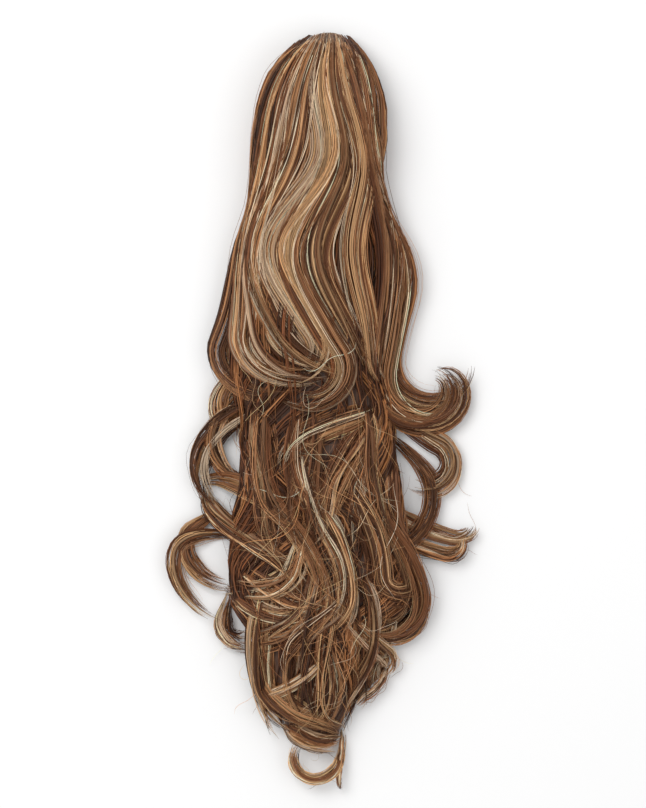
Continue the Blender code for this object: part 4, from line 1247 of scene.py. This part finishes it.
@dataclass
class Hair:
    """All of the hair: backing, bundle cores, strands by layer, mantle, crossing strands and loose hairs."""

    mass: HairMass = field(default_factory=HairMass)
    node: str = "ponytail_hair"
    body: str = "hairpiece"
    backing_inset: float = 0.0033
    end_share: float = 0.55
    backing_start: float = 0.005
    backing_reach: tuple[float, float] = (0.015, 0.94)
    backing_rings: int = 96
    backing_around: int = 64
    crossing_count: int = 360
    loose_a_lock: int = 2
    seed: int = 7

    def place(self, piece: bpy.types.Object) -> bpy.types.Object:
        """Rides the piece on its body in place of the plain solid."""
        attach(piece, self.body)
        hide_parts(self.node)
        faces = sum(len(face.vertices) - 2 for face in piece.data.polygons)
        LOG.info("%s: %d triangles", piece.name, faces)
        return piece

    def backing(self) -> bpy.types.Object:
        """The mass's skin drawn in under the strands, with the clip's room cut out of it from below."""
        evenly = np.linspace(*self.backing_reach, self.backing_rings)
        along = np.concatenate(([self.backing_start], evenly))[:, None]
        angle = np.linspace(0.0, 2 * np.pi, self.backing_around, endpoint=False)[None, :]
        shape = np.broadcast_shapes(along.shape, angle.shape)
        inset = np.full(shape, -self.backing_inset)
        rings = self.mass.skin(np.broadcast_to(along, shape), np.broadcast_to(angle, shape), inset)
        rings[0] = rings[0].mean(axis=0) + (rings[0] - rings[0].mean(axis=0)) * self.end_share
        made = closed_loft("hair_backing", rings, BackingFinish().material())
        for room in ClipRoom().solids():
            cut = made.modifiers.new("room for the clip", "BOOLEAN")
            cut.operation = "DIFFERENCE"
            cut.solver = "EXACT"
            cut.object = room
        graph = bpy.context.evaluated_depsgraph_get()
        finished = bpy.data.meshes.new_from_object(made.evaluated_get(graph), depsgraph=graph)
        for modifier in list(made.modifiers):
            bpy.data.objects.remove(modifier.object, do_unlink=True)
            made.modifiers.remove(modifier)
        made.data = finished
        made.data.shade_smooth()
        made.data.set_sharp_from_angle(angle=math.radians(45))
        return self.place(made)

    def build(self) -> list[bpy.types.Object]:
        """Builds every piece of the hair."""
        locks = named_locks()
        fibre = HairFinish("streaked_fibre").material()
        packed = HairFinish(
            "packed_fibre", roughness=0.48, streaks_a_turn=21.0, bump=0.9, darkest=0.25, lightest=2.0
        ).material()
        pieces = [self.backing()]
        cores = []
        for number, layer in enumerate(Layer):
            rng = np.random.default_rng(self.seed * 100 + number)
            parts = [Tress(lock, self.mass, rng).build() for lock in locks if lock.layer is layer]
            cores += [part[0] for part in parts]
            pieces.append(self.place(joined([part[1] for part in parts]).object_named(layer.value, fibre)))
        pieces.append(self.place(joined(cores).object_named("lock_bundles", packed)))
        rng = np.random.default_rng(self.seed * 1000)
        upper = Mantle(self.mass, rng, lowest_angle=-0.30).build(
            count=330, steps=24, start=(0.004, 0.02), end=(0.30, 0.55), curl=0.06, blonde=0.05, dark=0.40
        )
        lower = Mantle(self.mass, rng, least_proud=-0.0016).build(
            count=380, steps=24, start=(0.24, 0.62), end=(0.68, 0.935), curl=0.42, blonde=0.0, dark=0.55
        )
        pieces.append(self.place(upper.object_named("mantle_upper", fibre)))
        pieces.append(self.place(lower.object_named("mantle_lower", fibre)))
        tangle = Tangle(self.mass, rng).build(self.crossing_count)
        pieces.append(self.place(tangle.object_named("crossing_strands", fibre)))
        loose = LooseHairs(self.mass, rng).build(locks, self.loose_a_lock)
        pieces.append(self.place(loose.object_named("loose_hairs", fibre)))
        return pieces


@dataclass
class ClawClip:
    """The claw clip under the crown, in its moulded shape, with its steel pin and spring."""

    moulded: tuple[str, ...] = ("upper_jaw", "lower_jaw")
    steel: tuple[str, ...] = ("hinge_pin", "spring")

    def dress(self) -> list[bpy.types.Object]:
        """Gives each part of the clip its finish."""
        finishes = ((self.moulded, PlasticFinish().material()), (self.steel, SteelFinish().material()))
        dressed = []
        for names, finish in finishes:
            for name in names:
                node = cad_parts[name]
                node.data.materials.clear()
                node.data.materials.append(finish)
                dressed.append(node)
                LOG.info("%s: %s", name, finish.name)
        return dressed


@dataclass
class Studio:
    """Table, light and camera, the camera straight above as in the photograph."""

    camera_height: float = 3.0
    sensor: float = 36.0
    table_size: float = 6.0
    surrounding_strength: float = 0.70
    furthest: float = 20.0
    middle_px: tuple[float, float] = (FRAME_WIDTH_PX / 2, FRAME_HEIGHT_PX / 2)

    def table(self) -> bpy.types.Object:
        """A flat top under the hair."""
        half = self.table_size / 2
        mesh = bpy.data.meshes.new("table_top")
        corners = [(-half, -half, 0.0), (half, -half, 0.0), (half, half, 0.0), (-half, half, 0.0)]
        mesh.from_pydata(corners, [], [(0, 1, 2, 3)])
        mesh.materials.append(TableFinish().material())
        made = bpy.data.objects.new("table_top", mesh)
        bpy.context.scene.collection.objects.link(made)
        return made

    def lamp(self, name: str, place: Triple, size: float, power: float) -> bpy.types.Object:
        """A square soft lamp aimed at the hair's middle."""
        data = bpy.data.lights.new(name, "AREA")
        data.size = size
        data.energy = power
        made = bpy.data.objects.new(name, data)
        made.location = place
        away = np.array(place)
        made.rotation_euler = (
            math.atan2(math.hypot(away[0], away[1]), away[2]),
            0.0,
            math.atan2(away[0], -away[1]),
        )
        bpy.context.scene.collection.objects.link(made)
        return made

    def surroundings(self) -> None:
        """Even pale light from all round, and colours shown as they are."""
        world = bpy.data.worlds.new("pale surroundings")
        world.use_nodes = True
        background = world.node_tree.nodes["Background"]
        background.inputs["Color"].default_value = (1.0, 1.0, 1.0, 1.0)
        background.inputs["Strength"].default_value = self.surrounding_strength
        bpy.context.scene.world = world
        bpy.context.scene.view_settings.view_transform = "Standard"

    def camera(self) -> bpy.types.Object:
        """A long lens looking straight down, its frame the photograph's."""
        data = bpy.data.cameras.new("camera")
        data.sensor_width = self.sensor
        data.lens = self.sensor * self.camera_height / (FRAME_HEIGHT_PX * METRES_A_PIXEL)
        data.clip_end = self.furthest
        made = bpy.data.objects.new("camera", data)
        across = (self.middle_px[0] - HAIR_MIDDLE_PX) * METRES_A_PIXEL
        up = (CROWN_TIP_PX + HAIR_LENGTH_PX / 2 - self.middle_px[1]) * METRES_A_PIXEL
        made.location = (across, up, self.camera_height)
        bpy.context.scene.collection.objects.link(made)
        bpy.context.scene.camera = made
        return made

    def build(self) -> None:
        """Sets up the table, the lamps and the camera."""
        self.table()
        self.surroundings()
        self.lamp("key_lamp", place=(-0.9, 0.8, 2.1), size=1.5, power=30.0)
        self.lamp("fill_lamp", place=(1.4, -0.6, 2.2), size=1.8, power=6.0)
        self.camera()


def main() -> None:
    """Builds the hair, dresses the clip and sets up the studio."""
    logging.basicConfig(level=logging.INFO, format="%(name)s: %(message)s")
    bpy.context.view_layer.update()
    pieces = Hair().build()
    pieces += ClawClip().dress()
    Studio().build()
    triangles = sum(sum(len(face.vertices) - 2 for face in piece.data.polygons) for piece in pieces)
    LOG.info("%d pieces, %d triangles in all", len(pieces), triangles)


if __name__ == "__main__":
    main()
